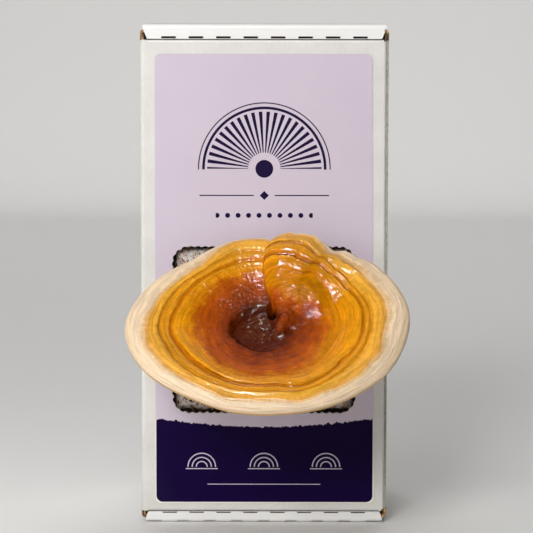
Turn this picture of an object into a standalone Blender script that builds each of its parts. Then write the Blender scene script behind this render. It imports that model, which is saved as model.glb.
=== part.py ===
"""Reishi mushroom grow kit: a corrugated carton on its end, its label, the block inside and the mushroom.

The carton is a folded mailer whose lid faces the front. The block of colonised sawdust fills it, and the
mushroom has grown out of the block through the window torn in the lid. Metres, +Z up, the front faces -Y,
and the origin is the middle of the end that the carton stands on.
"""

import math

import bmesh
import bpy
from mathutils import Vector

# The carton: outside size, board, and the layers of each double end wall
BOX_WIDTH = 0.130
BOX_DEPTH = 0.100
BOX_HEIGHT = 0.264
BOARD = 0.0020
WALL_GAP = 0.0006
CREASE_RADIUS = 0.0012
STRIP_WIDTH = 3 * BOARD + 2 * WALL_GAP
LID_BOTTOM = 0.0075
LID_TOP = 0.2555
SIDE_GAP = 0.0003
STRIP_END_TAPER = 0.0022
STRIP_END_INSET = 0.0020
CORNER_FLAP_LENGTH = 0.050
DUST_FLAP_LENGTH = 0.030
TUCK_FLAP_LENGTH = 0.030
FLAP_END_GAP = 0.0006

# The slots along the creases of the two edge strips
SLOT_PITCH = 0.0142
SLOT_LENGTH = 0.0072
SLOT_WIDTH = 0.0010
SLOT_COUNT = 8

# The window, torn out along a serrated line
WINDOW_WIDTH = 0.0964
WINDOW_HEIGHT = 0.0884
WINDOW_CENTRE_Z = 0.1032
WINDOW_CORNER = 0.0070
TOOTH_PITCH = 0.0040
TOOTH_DEPTH = 0.0007

# The label
LABEL_WIDTH = 0.1144
LABEL_BOTTOM = 0.0115
LABEL_TOP = 0.2486
LABEL_CORNER = 0.0022
LABEL_THICKNESS = 0.0002
CONTACT_GAP = 0.0003

# The block of colonised sawdust
BLOCK_LOW = (-0.0610, -0.0440, 0.0102)
BLOCK_HIGH = (0.0590, 0.0465, 0.2480)
BLOCK_CORNER = 0.011
BLOCK_LUMP = 0.0009
BLOCK_CELLS = (9, 7, 17)

# The cap: the middle of its rim plane, its tilt, and the rim's radius every 15 degrees from the right
CAP_CENTRE = (0.0003, -0.1028, 0.1179)
CAP_TILT = math.radians(40.0)
RIM_RADII = (
    0.0735, 0.0725, 0.0695, 0.0635, 0.0595, 0.0565, 0.0550, 0.0560, 0.0555, 0.0550, 0.0600, 0.0655,
    0.0700, 0.0710, 0.0690, 0.0655, 0.0630, 0.0630, 0.0630, 0.0635, 0.0655, 0.0675, 0.0705, 0.0720)
CAP_SEGMENTS = 76
SEAM_CROWDING = 0.55
DISH_DEPTH = 0.0090
DISH_POWER = 1.7
MARGIN_START = 0.86
MARGIN_RISE = 0.0020
RIM_LEVEL = -0.0036
RIM_BOTTOM = -0.0078
UNDER_START = 0.93
PAD_LEVEL = -0.0200
PAD_SHARE = 0.22

# The growth rings: where the grooves run, as shares of the radius, and how proud the rolls between are
GROOVES = (0.24, 0.48, 0.675, 0.76, 0.86)
ROLLS = (0.0007, 0.0016, 0.0010, 0.0009)
TOP_SHARES = (0.03, 0.07, 0.12, 0.17, 0.21, 0.25, 0.31, 0.39, 0.46, 0.49, 0.54, 0.60, 0.65, 0.675, 0.70, 0.735,
              0.76, 0.785, 0.825, 0.86)
RIM_TURNS = (62.0, 38.0, 16.0, -12.0, -45.0)
UNDER_SHARES = (0.93, 0.82, 0.62, 0.42, 0.29, 0.22, 0.11)

# The lobe that overlaps the seam behind the middle, and the pit in the middle
LOBE_HEIGHT = 0.0060
LOBE_RIM_SHARE = 0.75
LOBE_HALF_WIDTH = 0.0155
LOBE_REACH = 0.0025
LOBE_ANGLE = 70.0
LOBE_SPREAD = 15.0
SEAM_DEPTH = 0.0035
SEAM_WIDTH = 0.0011
PIT_RADIUS = 0.0165
PIT_STEP = 0.0024
SWIRL_PLACE = (0.0075, -0.0020)
SWIRL_RADIUS = 0.0085
SWIRL_HEIGHT = 0.0040
PIT_HOLE_PLACE = (0.0036, 0.0042)
PIT_HOLE_DEPTH = 0.0040
PIT_HOLE_RADIUS = 0.0026

# The stalk: where it leaves the block, and its radii from the block to the cap
STEM_ROOT = (0.0000, -0.0445, 0.0915)
STEM_RADII = (0.0165, 0.0142, 0.0120, 0.0112, 0.0117, 0.0113, 0.0110, 0.0114, 0.0120, 0.0126)
STEM_SEGMENTS = 24
STEM_LUMP = 0.0006

# Colours as seen, roughness; nothing here is metal
FINISHES = {
    "carton": ((0.86, 0.85, 0.82), 0.70),
    "label": ((0.70, 0.64, 0.72), 0.55),
    "substrate_block": ((0.33, 0.27, 0.21), 0.95),
    "stem": ((0.18, 0.035, 0.012), 0.30),
    "cap": ((0.66, 0.30, 0.03), 0.32),
}


def clear_scene():
    """Remove what the scene holds."""
    for obj in list(bpy.data.objects):
        bpy.data.objects.remove(obj, do_unlink=True)


def new_collection(name, helpers=False):
    """A collection in the scene; helpers are shown as wire and left out of renders."""
    made = bpy.data.collections.new(name)
    bpy.context.scene.collection.children.link(made)
    made.hide_render = helpers
    return made


def finish_material(name):
    """The piece's own material."""
    colour, roughness = FINISHES[name]
    material = bpy.data.materials.new(name)
    material.use_nodes = True
    shader = material.node_tree.nodes["Principled BSDF"]
    shader.inputs["Base Color"].default_value = (*colour, 1.0)
    shader.inputs["Roughness"].default_value = roughness
    return material


def new_object(name, mesh, collection, helper=False):
    """Link a mesh as a named object."""
    obj = bpy.data.objects.new(name, mesh)
    collection.objects.link(obj)
    if helper:
        obj.hide_render = True
        obj.display_type = "WIRE"
    elif name in FINISHES:
        mesh.materials.append(finish_material(name))
    return obj


def mesh_from(name, bm, turned_out=False):
    """Turn a bmesh into a mesh, with its faces turned to point out unless they do already."""
    if not turned_out:
        bmesh.ops.recalc_face_normals(bm, faces=bm.faces)
    mesh = bpy.data.meshes.new(name)
    bm.to_mesh(mesh)
    bm.free()
    return mesh


def cuboid(low, high):
    """A bmesh box between two corners."""
    bm = bmesh.new()
    bmesh.ops.create_cube(bm, size=1.0)
    low, high = Vector(low), Vector(high)
    size, middle = high - low, (high + low) / 2
    bmesh.ops.scale(bm, vec=size, verts=bm.verts)
    bmesh.ops.translate(bm, vec=middle, verts=bm.verts)
    return bm


def add_boolean(obj, name, operation, other):
    """Join, cut or trim an object with another one or with every object of a collection."""
    modifier = obj.modifiers.new(name, "BOOLEAN")
    modifier.operation = operation
    modifier.solver = "EXACT"
    if isinstance(other, bpy.types.Collection):
        modifier.operand_type = "COLLECTION"
        modifier.collection = other
    else:
        modifier.object = other
    return modifier


def smooth_step(x):
    """0 below 0, 1 above 1, smooth between."""
    x = min(max(x, 0.0), 1.0)
    return x * x * (3.0 - 2.0 * x)


def bell(x):
    """1 at 0, falling away on both sides."""
    return math.exp(-x * x)


def rounded_outline(width, height, corner, centre_z, pitch=0.0, depth=0.0):
    """Points (x, z) round a rectangle with round corners; a pitch gives its edge teeth of that depth."""
    straights = (width - 2 * corner, height - 2 * corner)
    arc = corner * math.pi / 2
    total = 2 * sum(straights) + 4 * arc
    count = 2 * round(total / pitch) if pitch else 4 * (6 + 1)
    points = []
    for i in range(count):
        if pitch:
            side, at = 0, (i + 0.5) * total / count
            while at > straights[side % 2] + arc:
                at -= straights[side % 2] + arc
                side += 1
            run = straights[side % 2]
            along, turn = min(at, run) - run / 2, max(at - run, 0.0) / corner
        else:
            side, step = divmod(i, 7)
            along, turn = straights[side % 2] / 2, step * math.pi / 12
        out = (straights[(side + 1) % 2] / 2) + corner * math.cos(turn)
        along += corner * math.sin(turn)
        out += depth * (0.5 if i % 2 else -0.5)
        quarter = side * math.pi / 2
        x = along * math.cos(quarter) + out * math.sin(quarter)
        z = along * math.sin(quarter) - out * math.cos(quarter)
        points.append((x, z + centre_z))
    return points


def prism(name, outline, y_front, y_back, collection, helper=False):
    """A flat outline in X and Z, filled and given its thickness along Y, as a mesh object."""
    bm = bmesh.new()
    ring = [bm.verts.new((x, y_front, z)) for x, z in outline]
    face = bm.faces.new(ring)
    grown = bmesh.ops.extrude_face_region(bm, geom=[face])
    moved = [item for item in grown["geom"] if isinstance(item, bmesh.types.BMVert)]
    bmesh.ops.translate(bm, vec=(0.0, y_back - y_front, 0.0), verts=moved)
    return new_object(name, mesh_from(name, bm), collection, helper)


def carton_panels():
    """Each panel of the folded blank as its lowest and highest corner; creased neighbours share their corner."""
    right, front, back, top = BOX_WIDTH / 2, -BOX_DEPTH / 2, BOX_DEPTH / 2, BOX_HEIGHT
    layer = BOARD + WALL_GAP
    lid_right = right - BOARD - SIDE_GAP
    flap_right = lid_right - BOARD - FLAP_END_GAP
    flap_left = -right + BOARD + FLAP_END_GAP
    inner_back = back - BOARD - FLAP_END_GAP
    panels = {
        "side_left": ((-right, front, layer), (-right + BOARD, back, top - layer)),
        "side_right": ((right - BOARD, front, layer), (right, back, top - layer)),
        "lid": ((-right, front, LID_BOTTOM), (lid_right, front + BOARD, LID_TOP)),
        "tuck_flap": (
            (lid_right - BOARD, front, LID_BOTTOM + BOARD + FLAP_END_GAP),
            (lid_right, front + TUCK_FLAP_LENGTH, LID_TOP - BOARD - FLAP_END_GAP),
        ),
    }
    for end, outer, inward, lid_edge in (("bottom", 0.0, 1, LID_BOTTOM), ("top", top, -1, LID_TOP)):
        layers = [sorted((outer + inward * i * layer, outer + inward * (i * layer + BOARD))) for i in range(3)]
        ear = sorted((lid_edge, lid_edge + inward * BOARD))
        strip = sorted((outer, outer + inward * STRIP_WIDTH))
        panels[end + "_outer"] = ((-right, front, layers[0][0]), (right, back, layers[0][1]))
        panels[end + "_inner"] = (
            (flap_left, front, layers[2][0]), (right - BOARD - FLAP_END_GAP, inner_back, layers[2][1]))
        panels[end + "_strip"] = ((-right, front, strip[0]), (right, front + BOARD, strip[1]))
        panels[end + "_dust_flap"] = (
            (flap_left, front, ear[0]), (flap_right, front + DUST_FLAP_LENGTH, ear[1]))
        for side, x in (("left", -right), ("right", right)):
            reach = sorted((x, x - math.copysign(CORNER_FLAP_LENGTH, x)))
            panels[f"{end}_corner_flap_{side}"] = (
                (reach[0], front + BOARD + FLAP_END_GAP, layers[1][0]), (reach[1], inner_back, layers[1][1]))
    return panels


def strip_end_cutter(name, x_sign, end, collection):
    """The wedge that tapers one end of an edge strip and frees it from the side wall."""
    outer_z = 0.0 if end == "bottom" else BOX_HEIGHT
    inward = 1 if end == "bottom" else -1
    half = BOX_WIDTH / 2
    corners = (
        (half + BOARD, outer_z + inward * BOARD),
        (half - STRIP_END_INSET, outer_z + inward * BOARD),
        (half - STRIP_END_INSET - STRIP_END_TAPER, outer_z + inward * (STRIP_WIDTH + WALL_GAP / 2)),
        (half + BOARD, outer_z + inward * (STRIP_WIDTH + WALL_GAP / 2)),
    )
    outline = [(x_sign * x, z) for x, z in corners]
    front = -BOX_DEPTH / 2
    return prism(name, outline, front - BOARD, front + BOARD + WALL_GAP / 2, collection, helper=True)


def build_carton(parts, helpers):
    """The folded blank: panels joined at their creases, window and slots cut, outer creases rounded."""
    joined = new_collection("carton_panels", helpers=True)
    slots = new_collection("carton_slots", helpers=True)
    back = cuboid((-BOX_WIDTH / 2, BOX_DEPTH / 2 - BOARD, 0.0), (BOX_WIDTH / 2, BOX_DEPTH / 2, BOX_HEIGHT))
    carton = new_object("carton", mesh_from("carton", back), parts)
    for name, (low, high) in carton_panels().items():
        new_object(name, mesh_from(name, cuboid(low, high)), joined, helper=True)
    add_boolean(carton, "panels", "UNION", joined)
    front = -BOX_DEPTH / 2
    for end in ("bottom", "top"):
        for x_sign in (-1, 1):
            strip_end_cutter(f"strip_end_{end}_{x_sign}", x_sign, end, slots)
        outer_z, inward = (0.0, 1) if end == "bottom" else (BOX_HEIGHT, -1)
        for i in range(SLOT_COUNT):
            x = (i - (SLOT_COUNT - 1) / 2) * SLOT_PITCH
            z = outer_z + inward * (STRIP_WIDTH - BOARD / 2)
            low = (x - SLOT_LENGTH / 2, front - BOARD, z - SLOT_WIDTH / 2)
            high = (x + SLOT_LENGTH / 2, front + 2 * BOARD, z + SLOT_WIDTH / 2)
            new_object(f"slot_{end}_{i}", mesh_from("slot", cuboid(low, high)), slots, helper=True)
        for i in range(SLOT_COUNT - 1):
            x = (i - (SLOT_COUNT - 2) / 2) * SLOT_PITCH
            z = sorted((outer_z - inward * BOARD, outer_z + inward * SLOT_WIDTH))
            low = (x - SLOT_LENGTH / 2, front - BOARD, z[0])
            high = (x + SLOT_LENGTH / 2, front + SLOT_WIDTH, z[1])
            new_object(f"notch_{end}_{i}", mesh_from("notch", cuboid(low, high)), slots, helper=True)
    outline = rounded_outline(
        WINDOW_WIDTH, WINDOW_HEIGHT, WINDOW_CORNER, WINDOW_CENTRE_Z, TOOTH_PITCH, TOOTH_DEPTH)
    prism("window_cutter", outline, front - BOARD, front + 2 * BOARD, slots, helper=True)
    add_boolean(carton, "slots_and_window", "DIFFERENCE", slots)
    hull = cuboid((-BOX_WIDTH / 2, front, 0.0), (BOX_WIDTH / 2, -front, BOX_HEIGHT))
    long_edges = list(hull.edges)
    bmesh.ops.bevel(
        hull, geom=long_edges, offset=CREASE_RADIUS, segments=2, profile=0.5, affect="EDGES", material=-1)
    crease_hull = new_object("crease_hull", mesh_from("crease_hull", hull), helpers, helper=True)
    add_boolean(carton, "rounded_creases", "INTERSECT", crease_hull)
    return carton


def build_label(parts, helpers):
    """The label: a thin sheet just off the lid, with the window's opening through it."""
    surface = -BOX_DEPTH / 2 - CONTACT_GAP
    middle = (LABEL_BOTTOM + LABEL_TOP) / 2
    outline = rounded_outline(LABEL_WIDTH, LABEL_TOP - LABEL_BOTTOM, LABEL_CORNER, middle)
    label = prism("label", outline, surface - LABEL_THICKNESS, surface, parts)
    window = rounded_outline(
        WINDOW_WIDTH, WINDOW_HEIGHT, WINDOW_CORNER, WINDOW_CENTRE_Z, TOOTH_PITCH, TOOTH_DEPTH)
    cutter = prism("label_window_cutter", window, surface - BOARD, surface + BOARD, helpers, helper=True)
    add_boolean(label, "window", "DIFFERENCE", cutter)
    return label


def build_block(parts):
    """The block: a soft-cornered brick with low lumps, flat where the stalk leaves it."""
    low, high = Vector(BLOCK_LOW), Vector(BLOCK_HIGH)
    bm = cuboid(low, high)
    for axis, cells in enumerate(BLOCK_CELLS):
        along = [edge for edge in bm.edges if abs((edge.verts[0].co - edge.verts[1].co)[axis]) > 1e-6]
        bmesh.ops.subdivide_edges(bm, edges=along, cuts=cells - 1, use_grid_fill=True)
    for vert in bm.verts:
        core = Vector(min(max(c, a + BLOCK_CORNER), b - BLOCK_CORNER) for c, a, b in zip(vert.co, low, high))
        out = vert.co - core
        if out.length > BLOCK_CORNER:
            vert.co = core + out.normalized() * BLOCK_CORNER
        x, y, z = vert.co
        lump = math.sin(x * 310 + z * 97) * math.sin(z * 233 - y * 180) * math.sin(y * 260 + x * 140)
        away = Vector((x - STEM_ROOT[0], y - STEM_ROOT[1], z - STEM_ROOT[2])).length
        lump = BLOCK_LUMP * (lump - 1.0) * smooth_step((away - 0.018) / 0.012)
        vert.co += out.normalized() * lump
    return new_object("substrate_block", mesh_from("substrate_block", bm), parts)


def rim_radius(theta):
    """The rim's radius at an angle from the right, counted towards the back."""
    count = len(RIM_RADII)
    turn = (theta / math.tau) % 1.0 * count
    i = int(turn)
    t = turn - i
    before, here, after, beyond = (RIM_RADII[(i + k) % count] for k in (-1, 0, 1, 2))
    radius = here + 0.5 * t * (
        after - before + t * (2 * before - 5 * here + 4 * after - beyond + t * (3 * (here - after) + beyond - before)))
    lobe_turn = math.degrees(theta) % 360.0 - LOBE_ANGLE
    return radius + LOBE_REACH * bell(lobe_turn / LOBE_SPREAD)


def seam_angle(radius):
    """Where the seam lies at a radius: straight back from the middle, curling right as it nears the pit."""
    return math.radians(90.5 - 55.0 * bell(radius / 0.010))


def lobe_height(a, b):
    """How far the lobe stands over the cap at a place right of, and behind, the middle."""
    if b <= 0.0:
        return 0.0
    radius = math.hypot(a, b)
    half = LOBE_HALF_WIDTH * (0.55 + 0.45 * smooth_step(b / 0.040))
    across = (a - radius * math.cos(seam_angle(radius)) - half) / half
    if abs(across) >= 1.0:
        return 0.0
    side = (1 - abs(across) ** 2.6) ** 0.7 if across < 0 else (1 - across ** 2.2) ** 1.0
    rim_share = 1.0 - (1.0 - LOBE_RIM_SHARE) * smooth_step((b - 0.030) / 0.025)
    return LOBE_HEIGHT * side * rim_share * smooth_step((b - 0.002) / 0.022)


def ring_rise(share):
    """The dish of the cap and the rolls between its grooves, at a share of the radius."""
    height = -DISH_DEPTH + (DISH_DEPTH + MARGIN_RISE) * min(share / MARGIN_START, 1.0) ** DISH_POWER
    for inner, outer, roll in zip(GROOVES, GROOVES[1:], ROLLS):
        if inner < share < outer:
            height += roll * math.sin(math.pi * ((share - inner) / (outer - inner)) ** 1.25) ** 0.7
    return height


def middle_relief(a, b):
    """The pit, the swirl in it, the hole beside the swirl, and the seam that runs back from it."""
    radius = math.hypot(a, b)
    height = -PIT_STEP * (1 - smooth_step((radius - PIT_RADIUS + 0.002) / 0.004))
    swirl = math.hypot(a - SWIRL_PLACE[0], b - SWIRL_PLACE[1])
    height += SWIRL_HEIGHT * bell(swirl / SWIRL_RADIUS)
    hole = math.hypot(a - PIT_HOLE_PLACE[0], b - PIT_HOLE_PLACE[1])
    height -= PIT_HOLE_DEPTH * bell(hole / PIT_HOLE_RADIUS)
    if b > 0.0:
        beside = a - radius * math.cos(seam_angle(radius))
        height -= SEAM_DEPTH * bell(beside / SEAM_WIDTH) * smooth_step(b / 0.010)
    return height


def cap_point(ring, theta):
    """The place of a point of the cap's skin, by its ring, counted from the middle of the top, and its angle."""
    radius = rim_radius(theta)
    rim_start = len(TOP_SHARES)
    under_start = rim_start + len(RIM_TURNS)
    if ring < rim_start:
        share = TOP_SHARES[ring]
    elif ring < under_start:
        turn = math.radians(RIM_TURNS[ring - rim_start])
        side = MARGIN_START if turn > 0 else UNDER_START
        share = side + (1.0 - side) * math.cos(turn)
    else:
        share = UNDER_SHARES[ring - under_start]
    reach = share * radius
    seam_shift = (seam_angle(reach) - math.pi / 2) * bell((math.degrees(theta) % 360.0 - 90.0) / 35.0)
    theta += seam_shift
    a, b = reach * math.cos(theta), reach * math.sin(theta)
    lobe = lobe_height(a, b)
    if ring < rim_start:
        height = ring_rise(share) + middle_relief(a, b) + lobe
    elif ring < under_start:
        tall = (MARGIN_RISE if turn > 0 else -RIM_BOTTOM + 2 * RIM_LEVEL) - RIM_LEVEL
        height = RIM_LEVEL + tall * math.sin(turn) + lobe
        if b > 0.0:
            height -= SEAM_DEPTH * bell((a - reach * math.cos(seam_angle(reach))) / SEAM_WIDTH) * (turn > 0)
    else:
        inward = smooth_step((UNDER_START - share) / (UNDER_START - PAD_SHARE))
        height = RIM_BOTTOM + (PAD_LEVEL - RIM_BOTTOM) * inward + lobe * smooth_step((share - 0.4) / 0.5)
    return a, b, height


def cap_frame():
    """The cap's own directions: right, back along its plane, and out of its top."""
    back = Vector((0.0, math.cos(CAP_TILT), math.sin(CAP_TILT)))
    out = Vector((0.0, -math.sin(CAP_TILT), math.cos(CAP_TILT)))
    return Vector((1.0, 0.0, 0.0)), back, out


def build_cap(parts):
    """The cap: a ball whose rings are laid along the dish, over the rim and back under to the stalk."""
    ring_count = len(TOP_SHARES) + len(RIM_TURNS) + len(UNDER_SHARES)
    bm = bmesh.new()
    bmesh.ops.create_uvsphere(bm, u_segments=CAP_SEGMENTS, v_segments=ring_count + 1, radius=1.0)
    right, back, out = cap_frame()
    for vert in bm.verts:
        fall = math.acos(min(max(vert.co.z, -1.0), 1.0)) / math.pi * (ring_count + 1)
        theta = math.atan2(vert.co.y, vert.co.x) - math.pi / 2
        theta = theta - SEAM_CROWDING * math.sin(theta) + math.pi / 2
        if fall < 0.5:
            a, b, height = 0.0, 0.0, ring_rise(0.0) + middle_relief(0.0, 0.0)
        elif fall > ring_count + 0.5:
            a, b, height = 0.0, 0.0, PAD_LEVEL
        else:
            a, b, height = cap_point(round(fall) - 1, theta)
        vert.co = Vector(CAP_CENTRE) + a * right + b * back + height * out
    cap = new_object("cap", mesh_from("cap", bm, turned_out=True), parts)
    cap.data.shade_smooth()
    return cap


def build_stem(parts):
    """The stalk: out of the block, then bending up to end square against the cap's underside."""
    bm = bmesh.new()
    bmesh.ops.create_cone(
        bm, cap_ends=True, segments=STEM_SEGMENTS, radius1=1.0, radius2=1.0, depth=1.0)
    long_edges = [edge for edge in bm.edges if abs(edge.verts[0].co.z - edge.verts[1].co.z) > 0.5]
    bmesh.ops.subdivide_edges(bm, edges=long_edges, cuts=len(STEM_RADII) - 2)
    right, _, out = cap_frame()
    root = Vector(STEM_ROOT)
    end = Vector(CAP_CENTRE) + (PAD_LEVEL - CONTACT_GAP) * out
    pull = (end - root).length * 0.45
    ahead, arrive = Vector((0.0, -1.0, 0.0)), out
    handles = (root, root + ahead * pull, end - arrive * pull, end)
    for vert in bm.verts:
        t = min(max(vert.co.z + 0.5, 0.0), 1.0)
        s = 1.0 - t
        weights = (s ** 3, 3 * s * s * t, 3 * s * t * t, t ** 3)
        centre = sum((w * h for w, h in zip(weights, handles)), Vector())
        slope = (s * s * (handles[1] - handles[0]) + 2 * s * t * (handles[2] - handles[1])
                 + t * t * (handles[3] - handles[2])).normalized()
        side = slope.cross(right).normalized()
        turn = math.atan2(vert.co.y, vert.co.x)
        radius = STEM_RADII[round(t * (len(STEM_RADII) - 1))]
        radius += STEM_LUMP * math.sin(3 * turn + 9 * t) * math.sin(math.pi * t)
        vert.co = centre + radius * (math.cos(turn) * right + math.sin(turn) * side)
    stem = new_object("stem", mesh_from("stem", bm), parts)
    stem.data.shade_smooth()
    stem.data.set_sharp_from_angle(angle=math.radians(40))
    return stem


def main():
    """Build the five pieces."""
    clear_scene()
    parts = new_collection("reishi_grow_kit")
    helpers = new_collection("cutters", helpers=True)
    build_carton(parts, helpers)
    build_label(parts, helpers)
    build_block(parts)
    build_stem(parts)
    build_cap(parts)


if __name__ == "__main__":
    main()
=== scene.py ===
"""Looks of the reishi grow kit: the folded carton, its label, the block, and the mushroom grown out of it.

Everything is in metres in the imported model's frame: +Z up along the carton, -Y out of its lid towards the
viewer, and the origin in the middle of the end that the carton stands on.
"""

import itertools
import logging
import math
import random
from dataclasses import dataclass, field
from enum import Enum
from functools import partial, reduce
from typing import Callable, Iterable, Sequence, Union

import bmesh
import bpy
import numpy as np
from mathutils import Matrix, Vector


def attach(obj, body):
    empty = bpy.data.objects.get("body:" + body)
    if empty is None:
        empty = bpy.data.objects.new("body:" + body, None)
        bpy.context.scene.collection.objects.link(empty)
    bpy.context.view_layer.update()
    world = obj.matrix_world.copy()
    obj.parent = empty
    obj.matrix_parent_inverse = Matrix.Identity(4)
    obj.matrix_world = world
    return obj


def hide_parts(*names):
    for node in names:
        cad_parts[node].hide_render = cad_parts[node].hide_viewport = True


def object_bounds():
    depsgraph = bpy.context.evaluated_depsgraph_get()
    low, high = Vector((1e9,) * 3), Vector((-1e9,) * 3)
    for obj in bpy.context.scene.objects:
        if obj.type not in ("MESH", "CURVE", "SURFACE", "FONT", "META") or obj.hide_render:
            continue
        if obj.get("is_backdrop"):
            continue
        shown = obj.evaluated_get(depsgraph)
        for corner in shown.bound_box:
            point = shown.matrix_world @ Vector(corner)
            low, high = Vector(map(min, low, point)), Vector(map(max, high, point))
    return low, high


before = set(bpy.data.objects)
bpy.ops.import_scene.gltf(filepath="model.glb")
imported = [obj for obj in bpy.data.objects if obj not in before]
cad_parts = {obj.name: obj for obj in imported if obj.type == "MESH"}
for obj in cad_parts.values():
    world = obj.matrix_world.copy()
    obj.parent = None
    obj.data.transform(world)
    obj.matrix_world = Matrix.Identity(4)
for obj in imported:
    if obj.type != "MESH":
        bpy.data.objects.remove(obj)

CAD_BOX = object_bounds()
BODY = "root"
LOG = logging.getLogger("grow_kit")
MM = 0.001
UP = Vector((0.0, 0.0, 1.0))
Place = tuple[float, float, float]
Outline = list[tuple[float, float]]
Curve = tuple[tuple[float, float], ...]
Stops = tuple[tuple[float, str], ...]
Node = bpy.types.Node
Mesh = bpy.types.Mesh
Piece = bpy.types.Object
Signal = Union[bpy.types.Node, bpy.types.NodeSocket]
Inputs = Union[dict, Sequence]
Add = Callable[..., Node]


class Face(Enum):
    """The material places of a sheet of board, in the order of its mesh's slots."""

    OUTER = 0
    INNER = 1
    CUT = 2


def linear(hex_code: str) -> tuple[float, float, float, float]:
    """Turn an sRGB hex colour to linear light.

    Args:
        hex_code: six hex digits after a number sign.

    Returns:
        Red, green, blue and an alpha of one.
    """
    shares = [int(hex_code[i:i + 2], 16) / 255 for i in (1, 3, 5)]
    return (*[s / 12.92 if s <= 0.04045 else ((s + 0.055) / 1.055) ** 2.4 for s in shares], 1.0)


def rise(low: float, high: float, x: np.ndarray) -> np.ndarray:
    """0 below the low value, 1 above the high one, smooth between."""
    t = np.clip((x - low) / (high - low), 0.0, 1.0)
    return t * t * (3.0 - 2.0 * t)


def bell(x: np.ndarray) -> np.ndarray:
    """1 at 0, falling away on both sides."""
    return np.exp(-x * x)


def spot(a: np.ndarray, b: np.ndarray, place: Sequence[float], size: Sequence[float]) -> np.ndarray:
    """1 at a place, falling away from it over its size in each direction."""
    return bell((a - place[0]) / size[0]) * bell((b - place[1]) / size[1])


def follow(curve: Curve, x: np.ndarray) -> np.ndarray:
    """Read a curve, given by its points, at each x."""
    return np.interp(x, *zip(*curve))


def noise_at(points: np.ndarray, size: float, seed: int, octaves: int = 2) -> np.ndarray:
    """Smooth noise between about -1 and 1 at each point.

    Args:
        points: one row of three coordinates for each point.
        size: the width of the noise's largest lumps, in the points' own unit.
        seed: a number that picks the noise.
        octaves: how many finer layers it has, the first one counted.

    Returns:
        One value for each point.
    """
    dice = np.random.default_rng(seed)
    order = dice.permutation(256)
    slopes = dice.normal(size=(256, 3))
    slopes /= np.linalg.norm(slopes, axis=1)[:, None]
    total, scale, weight = np.zeros(len(points)), 1.0 / size, 1.6
    for _ in range(octaves):
        at = points * scale
        cell = np.floor(at).astype(int)
        part = at - cell
        fade = part ** 3 * (part * (part * 6.0 - 15.0) + 10.0)
        for corner in itertools.product((0, 1), repeat=3):
            key = (cell + corner) & 255
            picked = slopes[order[(order[(order[key[:, 0]] + key[:, 1]) & 255] + key[:, 2]) & 255]]
            share = np.prod(np.where(corner, fade, 1.0 - fade), axis=1)
            total += weight * share * np.einsum("ij,ij->i", picked, part - corner)
        scale, weight = scale * 2.0, weight * 0.6
    return total


def feed(node: Node, inputs: Inputs) -> None:
    """Give a node's sockets their values, hex colours and links.

    Args:
        node: the node.
        inputs: values by the sockets' names or numbers, or in their order. A node gives its first output.
    """
    for key, value in inputs.items() if isinstance(inputs, dict) else enumerate(inputs):
        if isinstance(value, bpy.types.Node):
            value = value.outputs[0]
        if isinstance(value, bpy.types.NodeSocket):
            node.id_data.links.new(value, node.inputs[key])
        else:
            node.inputs[key].default_value = linear(value) if isinstance(value, str) else value


def add_node(tree: bpy.types.NodeTree, kind: str, inputs: Inputs = (),
             stops: Iterable[tuple[float, str]] = (), **settings: object) -> Node:
    """Add a shader node.

    Args:
        tree: the material's node tree.
        kind: the node's type, without ShaderNode before it.
        inputs: what its sockets are fed.
        stops: a colour ramp's stops, each a place and a hex colour.
        settings: the node's own options.

    Returns:
        The node.
    """
    node = tree.nodes.new("ShaderNode" + kind)
    for key, value in settings.items():
        setattr(node, key, value)
    for i, (place, colour) in enumerate(stops):
        elements = node.color_ramp.elements
        stop = elements[i] if i < 2 else elements.new(place)
        stop.position = place
        stop.color = linear(colour)
    feed(node, inputs)
    return node


@dataclass(frozen=True)
class Finish:
    """A surface finish: its name, and the values that are the same all over it."""

    name: str
    roughness: float = 0.5
    ior: float = 1.5
    mirror: float = 0.5
    subsurface: float = 0.0
    coat: float = 0.0
    sheen: float = 0.0

    def material(self) -> bpy.types.Material:
        """Make the material: the even values, and the pattern over them."""
        material = bpy.data.materials.new(self.name)
        material.use_nodes = True
        shader = material.node_tree.nodes["Principled BSDF"]
        feed(shader, {
            "Roughness": self.roughness, "IOR": self.ior, "Specular IOR Level": self.mirror,
            "Subsurface Weight": self.subsurface, "Coat Weight": self.coat, "Sheen Weight": self.sheen})
        add = partial(add_node, material.node_tree)
        feed(shader, self.draw(add, add("TexCoord").outputs["Object"]))
        return material

    def draw(self, add: Add, place: Signal) -> dict[str, object]:
        """Draw the pattern.

        Args:
            add: adds a node to the material.
            place: the object coordinates.

        Returns:
            What the shader's sockets are fed.
        """
        raise NotImplementedError


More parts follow.
